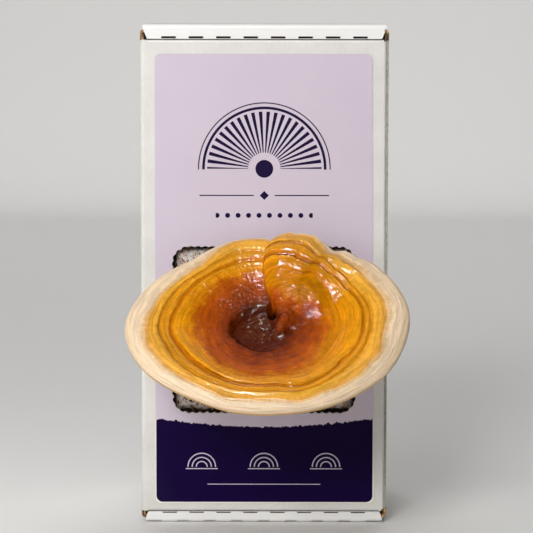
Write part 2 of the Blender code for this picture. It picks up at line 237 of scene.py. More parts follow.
@dataclass(frozen=True)
class CapSkin(Finish):
    """Lacquered reishi skin: glossy red-brown in the middle, amber, then the matt cream of new growth."""

    old_colours: Stops = (
        (0.00, "#5C2206"), (0.25, "#541A03"), (0.48, "#602205"), (0.60, "#8A360A"), (0.78, "#A8480C"),
        (0.92, "#BA530D"), (1.05, "#CE6B0C"), (1.22, "#E08409"))
    young_colours: Stops = (
        (0.00, "#DE8A06"), (0.46, "#DE8A06"), (0.53, "#EA9206"), (0.61, "#F29E0A"), (0.655, "#F4A218"),
        (0.68, "#DC8208"), (0.72, "#F2A524"), (0.76, "#E89816"), (0.80, "#FDB83C"), (0.842, "#F8B244"),
        (0.853, "#ECAA48"), (0.864, "#F1C182"), (0.872, "#EBC086"), (0.884, "#F5D7B0"), (0.930, "#F6DBBA"),
        (0.938, "#EDC998"), (0.947, "#F6DBBA"), (0.994, "#F5D8B5"), (1.006, "#DDAE72"), (1.016, "#EDC894"),
        (1.035, "#D9A866"), (1.07, "#E2C28C"), (1.12, "#EBD8B6"), (1.30, "#D5BF98"))
    # Where growth and age end on the ramps
    ramp_end: float = 1.3
    # The height of the skin at each growth, as walls and floors of the grooves
    ring_heights: Curve = (
        (0.44, 0.90), (0.490, 0.92), (0.502, 0.78), (0.515, 0.90), (0.560, 0.92), (0.572, 0.86),
        (0.584, 0.92), (0.628, 0.90), (0.654, 1.00), (0.676, 0.38), (0.696, 0.84), (0.712, 0.90),
        (0.724, 0.80), (0.736, 0.90), (0.752, 0.90), (0.766, 0.58), (0.782, 0.88), (0.806, 0.92),
        (0.815, 0.84), (0.824, 0.92), (0.836, 0.86), (0.848, 0.92), (0.862, 0.86), (0.90, 0.90))
    ring_depth: float = 1.3 * MM
    # Painted shade: the groove colour darkens the ring grooves by the hollow mark, and is a darker tone in
    # the fine lines and on the lobe; the crevice colour paints the seam and its hole near black
    groove_colour: str = "#9E4608"
    crevice_shade_colour: str = "#2A0B01"
    old_gloss: float = 0.07
    amber_gloss: float = 0.10
    cream_gloss: float = 0.55
    speck_size: float = 0.7 * MM
    blot_size: float = 3.3333 * MM
    wrinkle_size: float = 1.9231 * MM
    pore_size: float = 0.55 * MM
    # How far the rings and the streaks wander
    wander: float = 0.016
    # For each noise: its darkest and lightest tone, the values that give them, and its share on the cream
    tones: tuple[tuple[str, float, float, float, float, float], ...] = (
        ("bands", 0.34, 0.66, 0.82, 1.16, 0.25), ("lines", 0.36, 0.64, 0.86, 1.10, 1.8),
        ("streaks", 0.3, 0.7, 0.94, 1.05, 0.3), ("specks", 0.25, 0.75, 0.92, 1.06, 0.3),
        ("blots", 0.3, 0.7, 0.88, 1.08, 0.4))

    def draw(self, add: Add, place: Signal) -> dict[str, object]:
        """Read growth, age and the rest off the mesh, and draw colour, gloss and relief by them."""
        marks = {
            name: add("Attribute", attribute_name=name).outputs["Fac"]
            for name in ("growth", "age", "hollow", "wrinkle", "relief")}
        streak, rings = (
            add("Attribute", attribute_name=name).outputs["Vector"] for name in ("streak", "rings"))
        for name, vector, scale, detail, roughness in (
                ("streaks", streak, 1.0, 3.0, 0.6), ("bands", rings, 1.0, 4.0, 0.65),
                ("lines", rings, 2.6, 2.0, 0.5), ("blots", place, 1.0 / self.blot_size, 4.0, 0.65),
                ("specks", place, 1.0 / self.speck_size, 2.0, 0.5)):
            marks[name] = add(
                "TexNoise", {"Vector": vector, "Scale": scale, "Detail": detail, "Roughness": roughness})
        return {
            "Base Color": self.colour(add, marks), "Roughness": self.gloss(add, marks),
            "Normal": self.relief(add, marks, place), "Subsurface Radius": (1.0, 0.45, 0.2),
            "Subsurface Scale": 1.2 * MM}

    def colour(self, add: Add, marks: dict[str, Signal]) -> Node:
        """Colour by growth and age, toned by the noises, with painted shade in the grooves, the seam and its
        hole, and a darker tone in the fine lines and on the lobe.
        """
        wander = add("Math", (marks["streaks"], marks["blots"]), operation="ADD")
        wander = add("Math", (wander, self.wander, -self.wander), operation="MULTIPLY_ADD")
        grown = add("Math", (marks["growth"], wander), operation="ADD")
        aged = add("Math", (wander, 4.0, marks["age"]), operation="MULTIPLY_ADD")
        young, old = (
            add("ValToRGB", (add("Math", (value, self.ramp_end), operation="DIVIDE"),),
                stops=[(stop / self.ramp_end, colour) for stop, colour in stops])
            for value, stops in ((grown, self.young_colours), (aged, self.old_colours)))
        grown_up = add("MapRange", (aged, 1.02, 1.25))
        colour = add("MixRGB", (grown_up, old, young))
        on_cream = add("MapRange", (marks["growth"], 0.85, 0.89))
        for name, low, high, dark, light, cream_share in self.tones:
            tone = add("MapRange", (marks[name], low, high, dark, light))
            weight = add("MapRange", (on_cream, 0.0, 1.0, 1.0, cream_share))
            tone = add("Mix", {0: weight, 2: 1.0, 3: tone}, data_type="FLOAT")
            colour = add("MixRGB", (1.0, colour, tone), blend_type="MULTIPLY")
        # Painted shade in the grooves, and a darker tone in the fine lines and on the lobe
        in_groove = add("MapRange", (marks["hollow"], 0.0, 1.0, 0.0, 0.62))
        in_groove = add("Math", (in_groove, grown_up), operation="MULTIPLY")
        grooved = add("MixRGB", (in_groove, colour, self.groove_colour))
        # Painted shade: near black in the seam and its hole
        deep = add("MapRange", (marks["hollow"], 0.9, 2.0))
        return add("MixRGB", (deep, grooved, self.crevice_shade_colour))

    def gloss(self, add: Add, marks: dict[str, Signal]) -> Node:
        """Wet lacquer in the middle, a little duller where it is plain, and matt cream at the margin."""
        inner = add("MapRange", (marks["age"], 0.8, 1.3, self.old_gloss, self.amber_gloss))
        plain = add("MapRange", (marks["wrinkle"], 0.10, 0.4, 1.35, 0.9))
        inner = add("Math", (inner, plain), operation="MULTIPLY")
        margin = add("MapRange", (marks["growth"], 0.80, 0.90, 0.0, self.cream_gloss))
        rough = add("Math", (inner, margin), operation="MAXIMUM")
        uneven = add("MapRange", (marks["blots"], 0.3, 0.7, 0.85, 1.25))
        return add("Math", (rough, uneven), operation="MULTIPLY")

    def relief(self, add: Add, marks: dict[str, Signal], place: Signal) -> Node:
        """Lay the ring grooves, wrinkles, ridges of the margin, streaks and pores over each other."""
        rings = add("FloatCurve", (1.0, marks["growth"]))
        curve = rings.mapping.curves[0]
        curve.points[0].location = (0.0, self.ring_heights[0][1])
        curve.points[1].location = (1.0, self.ring_heights[-1][1])
        for spot in self.ring_heights:
            curve.points.new(*spot)
        rings.mapping.update()
        drawn = add("Mapping", {"Vector": place, "Scale": (0.55, 1.0, 1.0)})
        wrinkles = add("TexNoise", {"Vector": drawn, "Scale": 1.0 / self.wrinkle_size, "Detail": 1.0})
        on_margin = add("MapRange", (marks["growth"], 0.83, 0.88, 0.30, 1.0))
        smooth = add("MapRange", (marks["wrinkle"], 0.1, 0.6, 1.0, 0.1))
        on_margin = add("Math", (on_margin, smooth), operation="MULTIPLY")
        pores = add("TexVoronoi", {"Vector": place, "Scale": 1.0 / self.pore_size})
        under = add("MapRange", (marks["growth"], 1.10, 1.16))
        laid: dict[str, object] = {}
        for height, share, strength, depth in (
                (rings, marks["relief"], 1.0, self.ring_depth), (wrinkles, marks["wrinkle"], 1.0, 2.1 * MM),
                (marks["lines"], on_margin, 0.8, 0.8 * MM), (marks["streaks"], 1.0, 0.5, 0.30 * MM),
                (pores, under, 0.5, 0.3 * MM)):
            shown = add("Math", (height, share), operation="MULTIPLY")
            laid["Normal"] = add("Bump", {"Height": shown, "Strength": strength, "Distance": depth, **laid})
        return laid["Normal"]


@dataclass(frozen=True)
class StalkSkin(Finish):
    """Lacquered stalk: near-black red-brown varnish, paler where it is youngest, by the cap."""

    old_colour: str = "#2A0A04"
    young_colour: str = "#8A3A10"
    tip_colour: str = "#D9B37A"
    mottle_size: float = 2.8571 * MM

    def draw(self, add: Add, place: Signal) -> dict[str, object]:
        """Colour along the stalk, and fine rings and pits in the varnish."""
        along = add("Attribute", attribute_name="along").outputs["Fac"]
        mottle = add("TexNoise", {"Vector": place, "Scale": 1.0 / self.mottle_size, "Detail": 4.0})
        moved = add("Math", (mottle, 0.25, -0.125), operation="MULTIPLY_ADD")
        moved = add("Math", (moved, along), operation="ADD")
        stops = ((0.0, self.tip_colour), (0.06, self.young_colour), (0.20, self.old_colour),
                 (0.72, self.old_colour), (0.90, self.young_colour), (1.0, self.tip_colour))
        return {
            "Base Color": add("ValToRGB", (moved,), stops=stops),
            "Normal": add("Bump", {"Height": mottle, "Strength": 0.4, "Distance": 0.6 * MM})}


@dataclass(frozen=True)
class Mycelium(Finish):
    """Sawdust block bound by mycelium: grey-white felt over dark brown sawdust, with tan and rusty crumbs."""

    felt_stops: Stops = ((0.33, "#4A3828"), (0.41, "#C0AE9C"), (0.50, "#EFE7E1"), (1.0, "#F4EEE9"))
    fleck_stops: Stops = ((0.34, "#4A3C30"), (0.48, "#FFFFFF"))
    crumb_colour: str = "#A9683A"
    # Painted shade: a dark band round the inside of the window's edge, where the board shades the block
    edge_shade_colour: str = "#241810"
    mottle_size: float = 2.8 * MM
    crumb_size: float = 2.6316 * MM
    fleck_size: float = 0.76923 * MM

    def draw(self, add: Add, place: Signal) -> dict[str, object]:
        """Mottle felt and the dark sawdust under it, scatter crumbs, and paint shade in a dark band along the
        window's edge.
        """
        bare = add("Attribute", attribute_name="bare").outputs["Fac"]
        mottle, crumbs, fleck = (
            add("TexNoise", {"Vector": place, "Scale": 1.0 / size, "Detail": detail, "Roughness": roughness,
                             "Distortion": distortion})
            for size, detail, roughness, distortion in (
                (self.mottle_size, 5.0, 0.72, 0.4), (self.crumb_size, 3.0, 0.6, 0.0),
                (self.fleck_size, 3.0, 0.7, 0.0)))
        felt = add("ValToRGB", (mottle,), stops=self.felt_stops)
        is_crumb = add("MapRange", (crumbs, 0.55, 0.66, 0.0, 0.75))
        crumbed = add("MixRGB", (is_crumb, felt, self.crumb_colour))
        dark = add("ValToRGB", (fleck,), stops=self.fleck_stops)
        flecked = add("MixRGB", (0.45, crumbed, dark), blend_type="MULTIPLY")
        coarse = add("Bump", {"Height": mottle, "Strength": 0.8, "Distance": 1.2 * MM})
        return {
            "Base Color": add("MixRGB", (bare, flecked, self.edge_shade_colour)),
            "Normal": add("Bump", {"Height": fleck, "Strength": 0.7, "Distance": 0.5 * MM, "Normal": coarse})}


@dataclass(frozen=True)
class Sawdust(Finish):
    """Hardwood chips: dry splintery wood from straw to rust and bark brown, one tone to each chip."""

    tones: Stops = ((0.0, "#2E2018"), (0.35, "#6B4A30"), (0.6, "#B98A58"), (0.8, "#C27B45"), (1.0, "#E6D9C4"))
    grain_size: float = 0.5 * MM

    def draw(self, add: Add, place: Signal) -> dict[str, object]:
        """Tone by chip, with a little grain."""
        tone = add("Attribute", attribute_name="tone").outputs["Fac"]
        grain = add("TexNoise", {"Vector": place, "Scale": 1.0 / self.grain_size, "Detail": 2.0})
        shade = add("MapRange", (grain, 0.3, 0.7, 0.7, 1.1))
        wood = add("ValToRGB", (tone,), stops=self.tones)
        return {"Base Color": add("MixRGB", (1.0, wood, shade), blend_type="MULTIPLY")}


@dataclass(frozen=True)
class Liner(Finish):
    """A liner of corrugated board: clay-coated white outside, brown kraft inside, the flutes just showing.
    Its front edge strips get a painted colour: painted light on the white liner, painted shade on the kraft.
    """

    colour: str = "#E5E2DE"
    shade_colour: str = "#D9D6D1"
    # Painted light on the white liner: the front edge strips lighter than the lid, as though more light falls
    # on them
    painted_strip_colour: str = "#F1F0EE"
    # The heights beyond which the front edge strips take the painted strip colour, and the depth in front of
    # which they do
    strips: tuple[float, float] = (0.0060, 0.2560)
    strips_depth: float = -0.0440
    blot_size: float = 16.667 * MM
    fibre_size: float = 0.71429 * MM
    flute_pitch: float = 3.2 * MM
    flute_show: float = 0.06

    def draw(self, add: Add, place: Signal) -> dict[str, object]:
        """Soft blotches in the coat, paper fibres, faint lines along the flutes, and the painted strip colour
        on the front edge strips.
        """
        blots = add("TexNoise", {"Vector": place, "Scale": 1.0 / self.blot_size, "Detail": 3.0})
        stretched = add("Mapping", {"Vector": place, "Scale": (1.0, 1.0, 0.25)})
        fibres = add(
            "TexNoise",
            {"Vector": stretched, "Scale": 1.0 / self.fibre_size, "Detail": 3.0, "Roughness": 0.7})
        flutes = add(
            "TexWave",
            {"Vector": place, "Scale": math.tau / self.flute_pitch / 20.0, "Distortion": 0.6, "Detail": 1.0},
            bands_direction="X")
        mixed = add("Math", (fibres, blots), operation="ADD")
        spread = add("MapRange", (mixed, 0.75, 1.25))
        tone = add("MixRGB", (spread, self.shade_colour, self.colour))
        split = add("SeparateXYZ", (place,)).outputs
        low, high = self.strips
        between = add("Math", (split["Z"], (low + high) / 2, (high - low) / 2), operation="COMPARE")
        behind = add("Math", (split["Y"], self.strips_depth), operation="GREATER_THAN")
        # Off the front edge strips; on them the painted strip colour replaces the liner's tone
        off_strip = add("Math", (between, behind), operation="MAXIMUM")
        ribs = add("Bump", {"Height": flutes, "Strength": self.flute_show, "Distance": 0.25 * MM})
        paper = add("Bump", {"Height": fibres, "Strength": 0.10, "Distance": 0.15 * MM, "Normal": ribs})
        return {"Base Color": add("MixRGB", (off_strip, self.painted_strip_colour, tone)), "Normal": paper}


@dataclass(frozen=True)
class CutBoard(Finish):
    """The cut edge of corrugated board: torn kraft with painted shade in the flutes' openings, and along its
    sides an even grey that is painted shade.
    """

    # Painted shade: the near-black in the flutes' openings, also the darkest torn tone
    flute_shade_colour: str = "#1E140C"
    torn_stops: Stops = ((0.40, "#1E140C"), (0.48, "#7A5836"), (0.58, "#CBA474"))
    # Painted shade: the grey of a white liner's fold in shade, laid on the cut edge between the heights below
    shaded_grey_stops: Stops = ((0.30, "#8C867E"), (0.46, "#A5A097"), (0.66, "#B9B4AB"))
    flute_shade_stops: Stops = ((0.16, "#FFFFFF"), (0.30, "#000000"))
    # The heights between which the edge is painted the shaded grey, and beyond which it is torn
    shaded_grey_heights: tuple[float, float] = (0.0080, 0.2555)
    mouth_pitch: float = 1.6 * MM
    fibre_size: float = 0.90909 * MM
    draw_out: float = 0.35

    def draw(self, add: Add, place: Signal) -> dict[str, object]:
        """Torn paper broken by painted shade in the flutes' openings, drawn out to streaks along the flutes,
        which run upwards, and the shaded grey between the given heights.
        """
        drawn = add("Mapping", {"Vector": place, "Scale": (1.0, 1.0, self.draw_out)})
        mouths = add("TexVoronoi", {"Vector": drawn, "Scale": 1.0 / self.mouth_pitch}, feature="SMOOTH_F1")
        torn = add(
            "TexNoise", {"Vector": drawn, "Scale": 1.0 / self.fibre_size, "Detail": 3.0, "Roughness": 0.7})
        paper = add("ValToRGB", (torn,), stops=self.torn_stops)
        # Painted shade in the flutes' openings
        mouth = add("ValToRGB", (mouths,), stops=self.flute_shade_stops)
        edge = add("MixRGB", (mouth, paper, self.flute_shade_colour))
        # Painted shade: the grey that the side edges get
        shaded_grey = add("ValToRGB", (torn,), stops=self.shaded_grey_stops)
        low, high = self.shaded_grey_heights
        height = add("SeparateXYZ", (place,)).outputs["Z"]
        on_shaded_grey = add("Math", (height, (low + high) / 2, (high - low) / 2), operation="COMPARE")
        return {
            "Base Color": add("MixRGB", (on_shaded_grey, edge, shaded_grey)),
            "Normal": add("Bump", {"Height": torn, "Strength": 0.8, "Distance": 0.4 * MM})}


@dataclass(frozen=True)
class Press:
    """Lays ink masks on the label by place: x across it and z up it, in metres."""

    add: Add
    x: Signal
    z: Signal

    def shifted(self, value: Signal, by: float) -> Node:
        """A place measured from another one."""
        return self.add("Math", (value, by), operation="SUBTRACT")

    def within(self, value: Signal, low: float, high: float) -> Node:
        """Ink where a value lies between two others."""
        return self.add("Math", (value, (low + high) / 2, (high - low) / 2), operation="COMPARE")

    def either(self, *masks: Node) -> Node:
        """Ink where any mask has it."""
        return reduce(lambda joined, mask: self.add("Math", (joined, mask), operation="MAXIMUM"), masks)

    def both(self, *masks: Node) -> Node:
        """Ink where all masks have it."""
        return reduce(lambda joined, mask: self.add("Math", (joined, mask), operation="MULTIPLY"), masks)

    def distance(self, across: Signal, above: Signal) -> Signal:
        """The distance from the point where both places are zero."""
        place = self.add("CombineXYZ", (across, above))
        return self.add("VectorMath", (place,), operation="LENGTH").outputs["Value"]


@dataclass(frozen=True)
class PrintedPaper(Finish):
    """Coated label paper, offset printed: a pale lilac ground, dark purple motifs and a dark purple foot."""

    ground_colour: str = "#CFC2D1"
    cloud_colour: str = "#D6CAD7"
    ink_colour: str = "#18063A"
    pale_ink: str = "#CFC3D6"
    border_colour: str = "#F4EEE5"
    cloud_size: float = 28.571 * MM
    fibre_size: float = 1.4286 * MM
    # The foot's field: its left and right edge, its bottom, and its corners' radius
    foot_box: Place = (-0.0571, 0.0577, 0.0111)
    foot_corner: float = 0.0034
    foot_height: float = 0.0545
    foot_dip: float = 0.0048
    foot_ragged: float = 0.0036
    rag_size: float = 2.5 * MM
    # The fan's middle, the radii of its gills, the arcs round them, and its heart
    fan_centre: tuple[float, float] = (0.0, 0.1885)
    fan_radii: tuple[float, float] = (0.0085, 0.0300)
    fan_rays: int = 46
    fan_arcs: Curve = ((0.0012, 0.0026), (0.0042, 0.0048))
    fan_heart: float = 0.004675
    rule_height: float = 0.1745
    rule_reach: tuple[float, float] = (0.0055, 0.0340)
    rule_half: float = 0.0003
    diamond: float = 0.0024
    dot_height: float = 0.1640
    dot_pitch: float = 0.0055
    dot_reach: float = 0.0255
    dot_radius: float = 0.0013
    # The nested arcs: their sill's height, pitch, reach, radii, line and half width
    shelf_height: float = 0.0300
    shelf_pitch: float = 0.0330
    shelf_reach: float = 0.0490
    shelf_radii: Place = (0.0026, 0.0048, 0.0070)
    shelf_line: float = 0.0006
    shelf_half: float = 0.0085
    foot_rule: tuple[float, float] = (0.0205, 0.0209)
    foot_rule_reach: float = 0.030

    def draw(self, add: Add, place: Signal) -> dict[str, object]:
        """Lay the two inks over the ground."""
        split = add("SeparateXYZ", (place,)).outputs
        press = Press(add, split["X"], split["Z"])
        clouds = add("TexNoise", {"Vector": place, "Scale": 1.0 / self.cloud_size, "Detail": 3.0})
        foot = self.foot(press)
        dark = press.either(
            self.fan(press), self.rules(press), self.dots(press), press.both(foot, self.foot_field(press)))
        colour = add("MixRGB", (clouds, self.ground_colour, self.cloud_colour))
        for mask, ink in (
                (foot, self.border_colour), (dark, self.ink_colour), (self.shelves(press), self.pale_ink)):
            colour = add("MixRGB", (mask, colour, ink))
        fibres = add("TexNoise", {"Vector": place, "Scale": 1.0 / self.fibre_size, "Detail": 2.0})
        return {
            "Base Color": colour,
            "Normal": add("Bump", {"Height": fibres, "Strength": 0.05, "Distance": 0.2 * MM})}

    def fan(self, press: Press) -> Node:
        """Half a round of gills that widen outwards, between two arcs, over a small round heart."""
        low, high = self.fan_radii
        across, above = (
            press.shifted(value, by) for value, by in zip((press.x, press.z), self.fan_centre))
        radius = press.distance(across, above)
        angle = press.add("Math", (above, across), operation="ARCTAN2")
        turned = press.add("Math", (angle, self.fan_rays), operation="MULTIPLY")
        wave = press.add("Math", (turned,), operation="COSINE")
        gills = press.both(
            press.within(wave, 0.1, 1.1), press.within(radius, low, high), press.within(above, 0.0, high))
        arcs = press.either(*[press.within(radius, high + a, high + b) for a, b in self.fan_arcs])
        half = press.within(above, -0.0004, 2 * high)
        return press.either(gills, press.both(arcs, half), press.within(radius, -1.0, self.fan_heart))

    def rules(self, press: Press) -> Node:
        """Two thin rules with a diamond between them."""
        above = press.shifted(press.z, self.rule_height)
        side, drop = (press.add("Math", (value,), operation="ABSOLUTE") for value in (press.x, above))
        lines = press.both(
            press.within(side, *self.rule_reach), press.within(above, -self.rule_half, self.rule_half))
        slanted = press.add("Math", (side, drop), operation="ADD")
        return press.either(lines, press.within(slanted, -1.0, self.diamond))

    def dots(self, press: Press) -> Node:
        """A row of round dots."""
        step = press.add("Math", (press.x, self.dot_pitch, 0.0), operation="WRAP")
        radius = press.distance(
            press.shifted(step, self.dot_pitch / 2), press.shifted(press.z, self.dot_height))
        inside = press.within(press.x, -self.dot_reach, self.dot_reach)
        return press.both(press.within(radius, -1.0, self.dot_radius), inside)

    def foot(self, press: Press) -> Node:
        """The dark foot, with a ragged upper edge that dips in the middle."""
        slow = press.add("Math", (press.x, 26.0), operation="MULTIPLY")
        dip = press.add("Math", (slow,), operation="COSINE")
        rough = press.add(
            "TexNoise", {"W": press.x, "Scale": 1.0 / self.rag_size, "Detail": 5.0, "Roughness": 0.65},
            noise_dimensions="1D")
        edge = press.add("Math", (dip, -self.foot_dip, self.foot_height), operation="MULTIPLY_ADD")
        edge = press.add("Math", (rough, self.foot_ragged, edge), operation="MULTIPLY_ADD")
        return press.add("Math", (press.z, edge), operation="LESS_THAN")

    def foot_field(self, press: Press) -> Node:
        """The round-cornered field that the foot keeps to, so that a pale border is left round it."""
        left, right, bottom = self.foot_box
        side = press.add("Math", (press.shifted(press.x, (left + right) / 2),), operation="ABSOLUTE")
        past = [
            press.add("Math", pair, operation="SUBTRACT")
            for pair in ((side, (right - left) / 2 - self.foot_corner), (bottom + self.foot_corner, press.z))]
        past = [press.add("Math", (value, 0.0), operation="MAXIMUM") for value in past]
        return press.within(press.distance(*past), -1.0, self.foot_corner)

    def shelves(self, press: Press) -> Node:
        """Pale nested arcs in the foot, like shelves one over the other, and a thin pale rule below."""
        step = press.add("Math", (press.x, self.shelf_pitch / 2, -self.shelf_pitch / 2), operation="WRAP")
        above = press.shifted(press.z, self.shelf_height)
        radius = press.distance(step, above)
        arcs = press.either(*[press.within(radius, r, r + self.shelf_line) for r in self.shelf_radii])
        half = press.within(above, 0.0, 0.02)
        inside = press.within(press.x, -self.shelf_reach, self.shelf_reach)
        sill = press.both(
            press.within(above, -0.0012, -0.0007), press.within(step, -self.shelf_half, self.shelf_half))
        rule = press.both(
            press.within(press.z, *self.foot_rule),
            press.within(press.x, -self.foot_rule_reach, self.foot_rule_reach))
        return press.either(press.both(arcs, half, inside), press.both(sill, inside), rule)


@dataclass(frozen=True)
class StudioPaper(Finish):
    """Plain pale paper sweep."""

    colour: str = "#E6E5E3"

    def draw(self, add: Add, place: Signal) -> dict[str, object]:
        """One even tone."""
        return {"Base Color": self.colour}


def mesh_of(name: str, bm: bmesh.types.BMesh, smooth: bool = True) -> Mesh:
    """Turn a bmesh into a mesh and free it.

    Args:
        name: the mesh's name.
        bm: the bmesh.
        smooth: whether its faces are shaded smooth.

    Returns:
        The mesh.
    """
    mesh = bpy.data.meshes.new(name)
    bm.to_mesh(mesh)
    bm.free()
    if smooth:
        mesh.shade_smooth()
    return mesh


def add_piece(name: str, mesh: Mesh, finishes: Iterable[Finish],
              stands_for: Sequence[str] = ()) -> Piece:
    """Args:
        name: the piece's name.
        mesh: its mesh, in the frame's own place.
        finishes: one finish for each of the mesh's material slots.
        stands_for: the CAD nodes that it replaces.

    Returns:
        The object.
    """
    piece = bpy.data.objects.new(name, mesh)
    bpy.context.scene.collection.objects.link(piece)
    for finish in finishes:
        mesh.materials.append(finish.material())
    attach(piece, BODY)
    if stands_for:
        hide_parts(*stands_for)
    LOG.info("%s: %d vertices", name, len(mesh.vertices))
    return piece


def add_attribute(mesh: Mesh, name: str, values: np.ndarray) -> None:
    """Keep one number, or three, for each vertex of a mesh."""
    is_vector = values.ndim == 2
    attribute = mesh.attributes.new(name, "FLOAT_VECTOR" if is_vector else "FLOAT", "POINT")
    attribute.data.foreach_set("vector" if is_vector else "value", values.astype(np.float32).ravel())


def vertex_places(mesh: Mesh) -> np.ndarray:
    """The places of a mesh's vertices, one row each."""
    places = np.empty(len(mesh.vertices) * 3, np.float32)
    mesh.vertices.foreach_get("co", places)
    return places.reshape(-1, 3).astype(float)


def set_places(mesh: Mesh, places: np.ndarray) -> None:
    """Move a mesh's vertices to new places."""
    mesh.vertices.foreach_set("co", places.astype(np.float32).ravel())
    mesh.update()


@dataclass
class Skin:
    """The cap's skin spread flat on the cap's plane, with one value for each of its points.

    A point has a turn, in degrees clockwise from the seam, a share of the rim's radius there, and a path,
    which is its share along the top and over the rim. Its roll is its angle on the rim's round, above it or
    below, and its square is how boxy the round is there.
    """

    turn: np.ndarray
    theta: np.ndarray
    radius: np.ndarray
    share: np.ndarray
    path: np.ndarray
    roll: np.ndarray
    square: np.ndarray
    is_top: np.ndarray
    is_rim: np.ndarray

    def __post_init__(self) -> None:
        """Work out each point's place: a to the right, and b towards the back."""
        self.a, self.b = self.radius * np.cos(self.theta), self.radius * np.sin(self.theta)
        self.flat = np.stack((self.a, self.b, np.zeros_like(self.a)), axis=1)
        self.around = np.stack((np.cos(self.theta), np.sin(self.theta)), axis=1)
        self.outside = self.is_top | self.is_rim
        self.on_lobe = (1.0 - rise(40.0, 68.0, self.turn)) * self.outside


@dataclass
class Cap:
    """The cap: a tilted dish with terraced growth rings, a lobe folded over its seam, and a wrinkled pit."""

    centre: Place = (0.0003, -0.1028, 0.1179)
    tilt: float = math.radians(40.0)
    rim_radii: tuple[float, ...] = (
        0.0735, 0.0725, 0.0695, 0.0635, 0.0595, 0.0565, 0.0550, 0.0560, 0.0555, 0.0550, 0.0600, 0.0655,
        0.0700, 0.0710, 0.0690, 0.0655, 0.0630, 0.0630, 0.0630, 0.0635, 0.0655, 0.0675, 0.0705, 0.0720)
    # What is added to the rim's radius at these angles
    rim_bends: Curve = (
        (0, 0.0002), (7, 0.0002), (14, -0.0003), (20, -0.0006), (27, -0.0012), (33, -0.0005), (39, -0.0002),
        (41, -0.0011), (43, -0.0002), (45, 0.0), (50, 0.0006), (54, -0.0034), (59, -0.0032), (64, -0.0028),
        (68, -0.0010), (72, -0.0005), (75, -0.0001), (79, -0.0005), (83, 0.0017), (87, 0.0017), (90, -0.0020),
        (94, 0.0), (97, 0.0002), (101, 0.0), (110, 0.0004), (120, 0.0), (140, -0.0002), (147, -0.0004),
        (153, -0.0006), (173, -0.0008), (180, -0.0003), (187, 0.0002), (200, -0.0003), (212, 0.0), (255, 0.0),
        (262, -0.0003), (270, -0.0003), (277, -0.0005), (282, 0.0), (300, 0.0003), (325, 0.0005),
        (345, 0.0004), (360, 0.0002))
    segments: int = 512
    pit_rings: int = 50
    top_rings: int = 84
    rim_rings: int = 26
    under_rings: int = 28
    pit_share: float = 0.26
    seam_crowding: float = 0.50
    dish_depth: float = 0.0090
    dish_power: float = 1.7
    margin_start: float = 0.86
    margin_rise: float = 0.0007
    # The rim's round: its angles from top to underside, and how boxy its upper half is at the back
    rim_turn: tuple[float, float] = (88.0, -62.0)
    roll_back: float = 0.50
    rim_level: float = -0.0036
    rim_bottom: float = -0.0078
    under_start: float = 0.93
    pad_level: float = -0.0200
    pad_share: float = 0.22
    # Each ring's share of the radius at its turns: the brown's edge, three grooves, and the cream's edge
    brown_edge: Curve = (
        (0, 0.345), (15, 0.325), (26, 0.310), (45, 0.305), (59, 0.350), (73, 0.410), (100, 0.410),
        (115, 0.425), (128, 0.448), (139, 0.492), (150, 0.530), (162, 0.556), (182, 0.570), (200, 0.585),
        (217, 0.551), (228, 0.508), (240, 0.474), (252, 0.460), (267, 0.465), (279, 0.490), (300, 0.540),
        (320, 0.575), (345, 0.535), (360, 0.530))
    inner_groove: Curve = (
        (0, 0.460), (8, 0.517), (15, 0.536), (24, 0.538), (33, 0.558), (43, 0.600), (50, 0.585), (60, 0.555),
        (72, 0.528), (90, 0.523), (116, 0.530), (133, 0.556), (152, 0.566), (182, 0.570), (200, 0.585),
        (217, 0.551), (228, 0.508), (240, 0.474), (252, 0.455), (267, 0.445), (279, 0.459), (300, 0.499),
        (320, 0.527), (345, 0.488), (360, 0.503))
    main_groove: Curve = (
        (0, 0.690), (8, 0.699), (16, 0.681), (26, 0.668), (37, 0.690), (48, 0.685), (62, 0.671), (80, 0.687),
        (94, 0.680), (110, 0.700), (125, 0.699), (136, 0.728), (146, 0.752), (153, 0.772), (160, 0.786),
        (165, 0.770), (171, 0.738), (183, 0.732), (198, 0.745), (206, 0.738), (214, 0.720), (225, 0.694),
        (242, 0.667), (261, 0.664), (281, 0.668), (292, 0.689), (304, 0.720), (318, 0.736), (330, 0.726),
        (350, 0.723), (360, 0.735))
    outer_groove: Curve = (
        (0, 0.790), (10, 0.824), (25, 0.826), (37, 0.795), (48, 0.750), (60, 0.727), (72, 0.720), (90, 0.728),
        (108, 0.748), (125, 0.772), (140, 0.800), (153, 0.838), (162, 0.850), (172, 0.820), (190, 0.812),
        (206, 0.832), (217, 0.820), (233, 0.780), (249, 0.750), (266, 0.744), (280, 0.757), (300, 0.782),
        (320, 0.806), (345, 0.812), (360, 0.815))
    cream_edge: Curve = (
        (0, 0.895), (24, 0.894), (31, 0.882), (38, 0.862), (45, 0.852), (61, 0.842), (82, 0.842), (95, 0.836),
        (104, 0.843), (113, 0.868), (121, 0.866), (131, 0.885), (150, 0.890), (158, 0.905), (164, 0.916),
        (174, 0.897), (190, 0.897), (200, 0.908), (214, 0.892), (232, 0.884), (250, 0.870), (262, 0.851),
        (274, 0.828), (292, 0.826), (312, 0.849), (328, 0.872), (339, 0.902), (360, 0.901))
    # The growth of the grooves and the cream's edge, the rolls between them, and the fine lines' darkness
    growth_marks: tuple[float, ...] = (0.50, 0.675, 0.765, 0.86)
    rolls: tuple[float, ...] = (0.0011, 0.0008, 0.0007)
    fine_lines: Curve = (
        (0.555, 0.25), (0.600, 0.28), (0.645, 0.30), (0.715, 0.32), (0.740, 0.22), (0.815, 0.30),
        (0.842, 0.25))
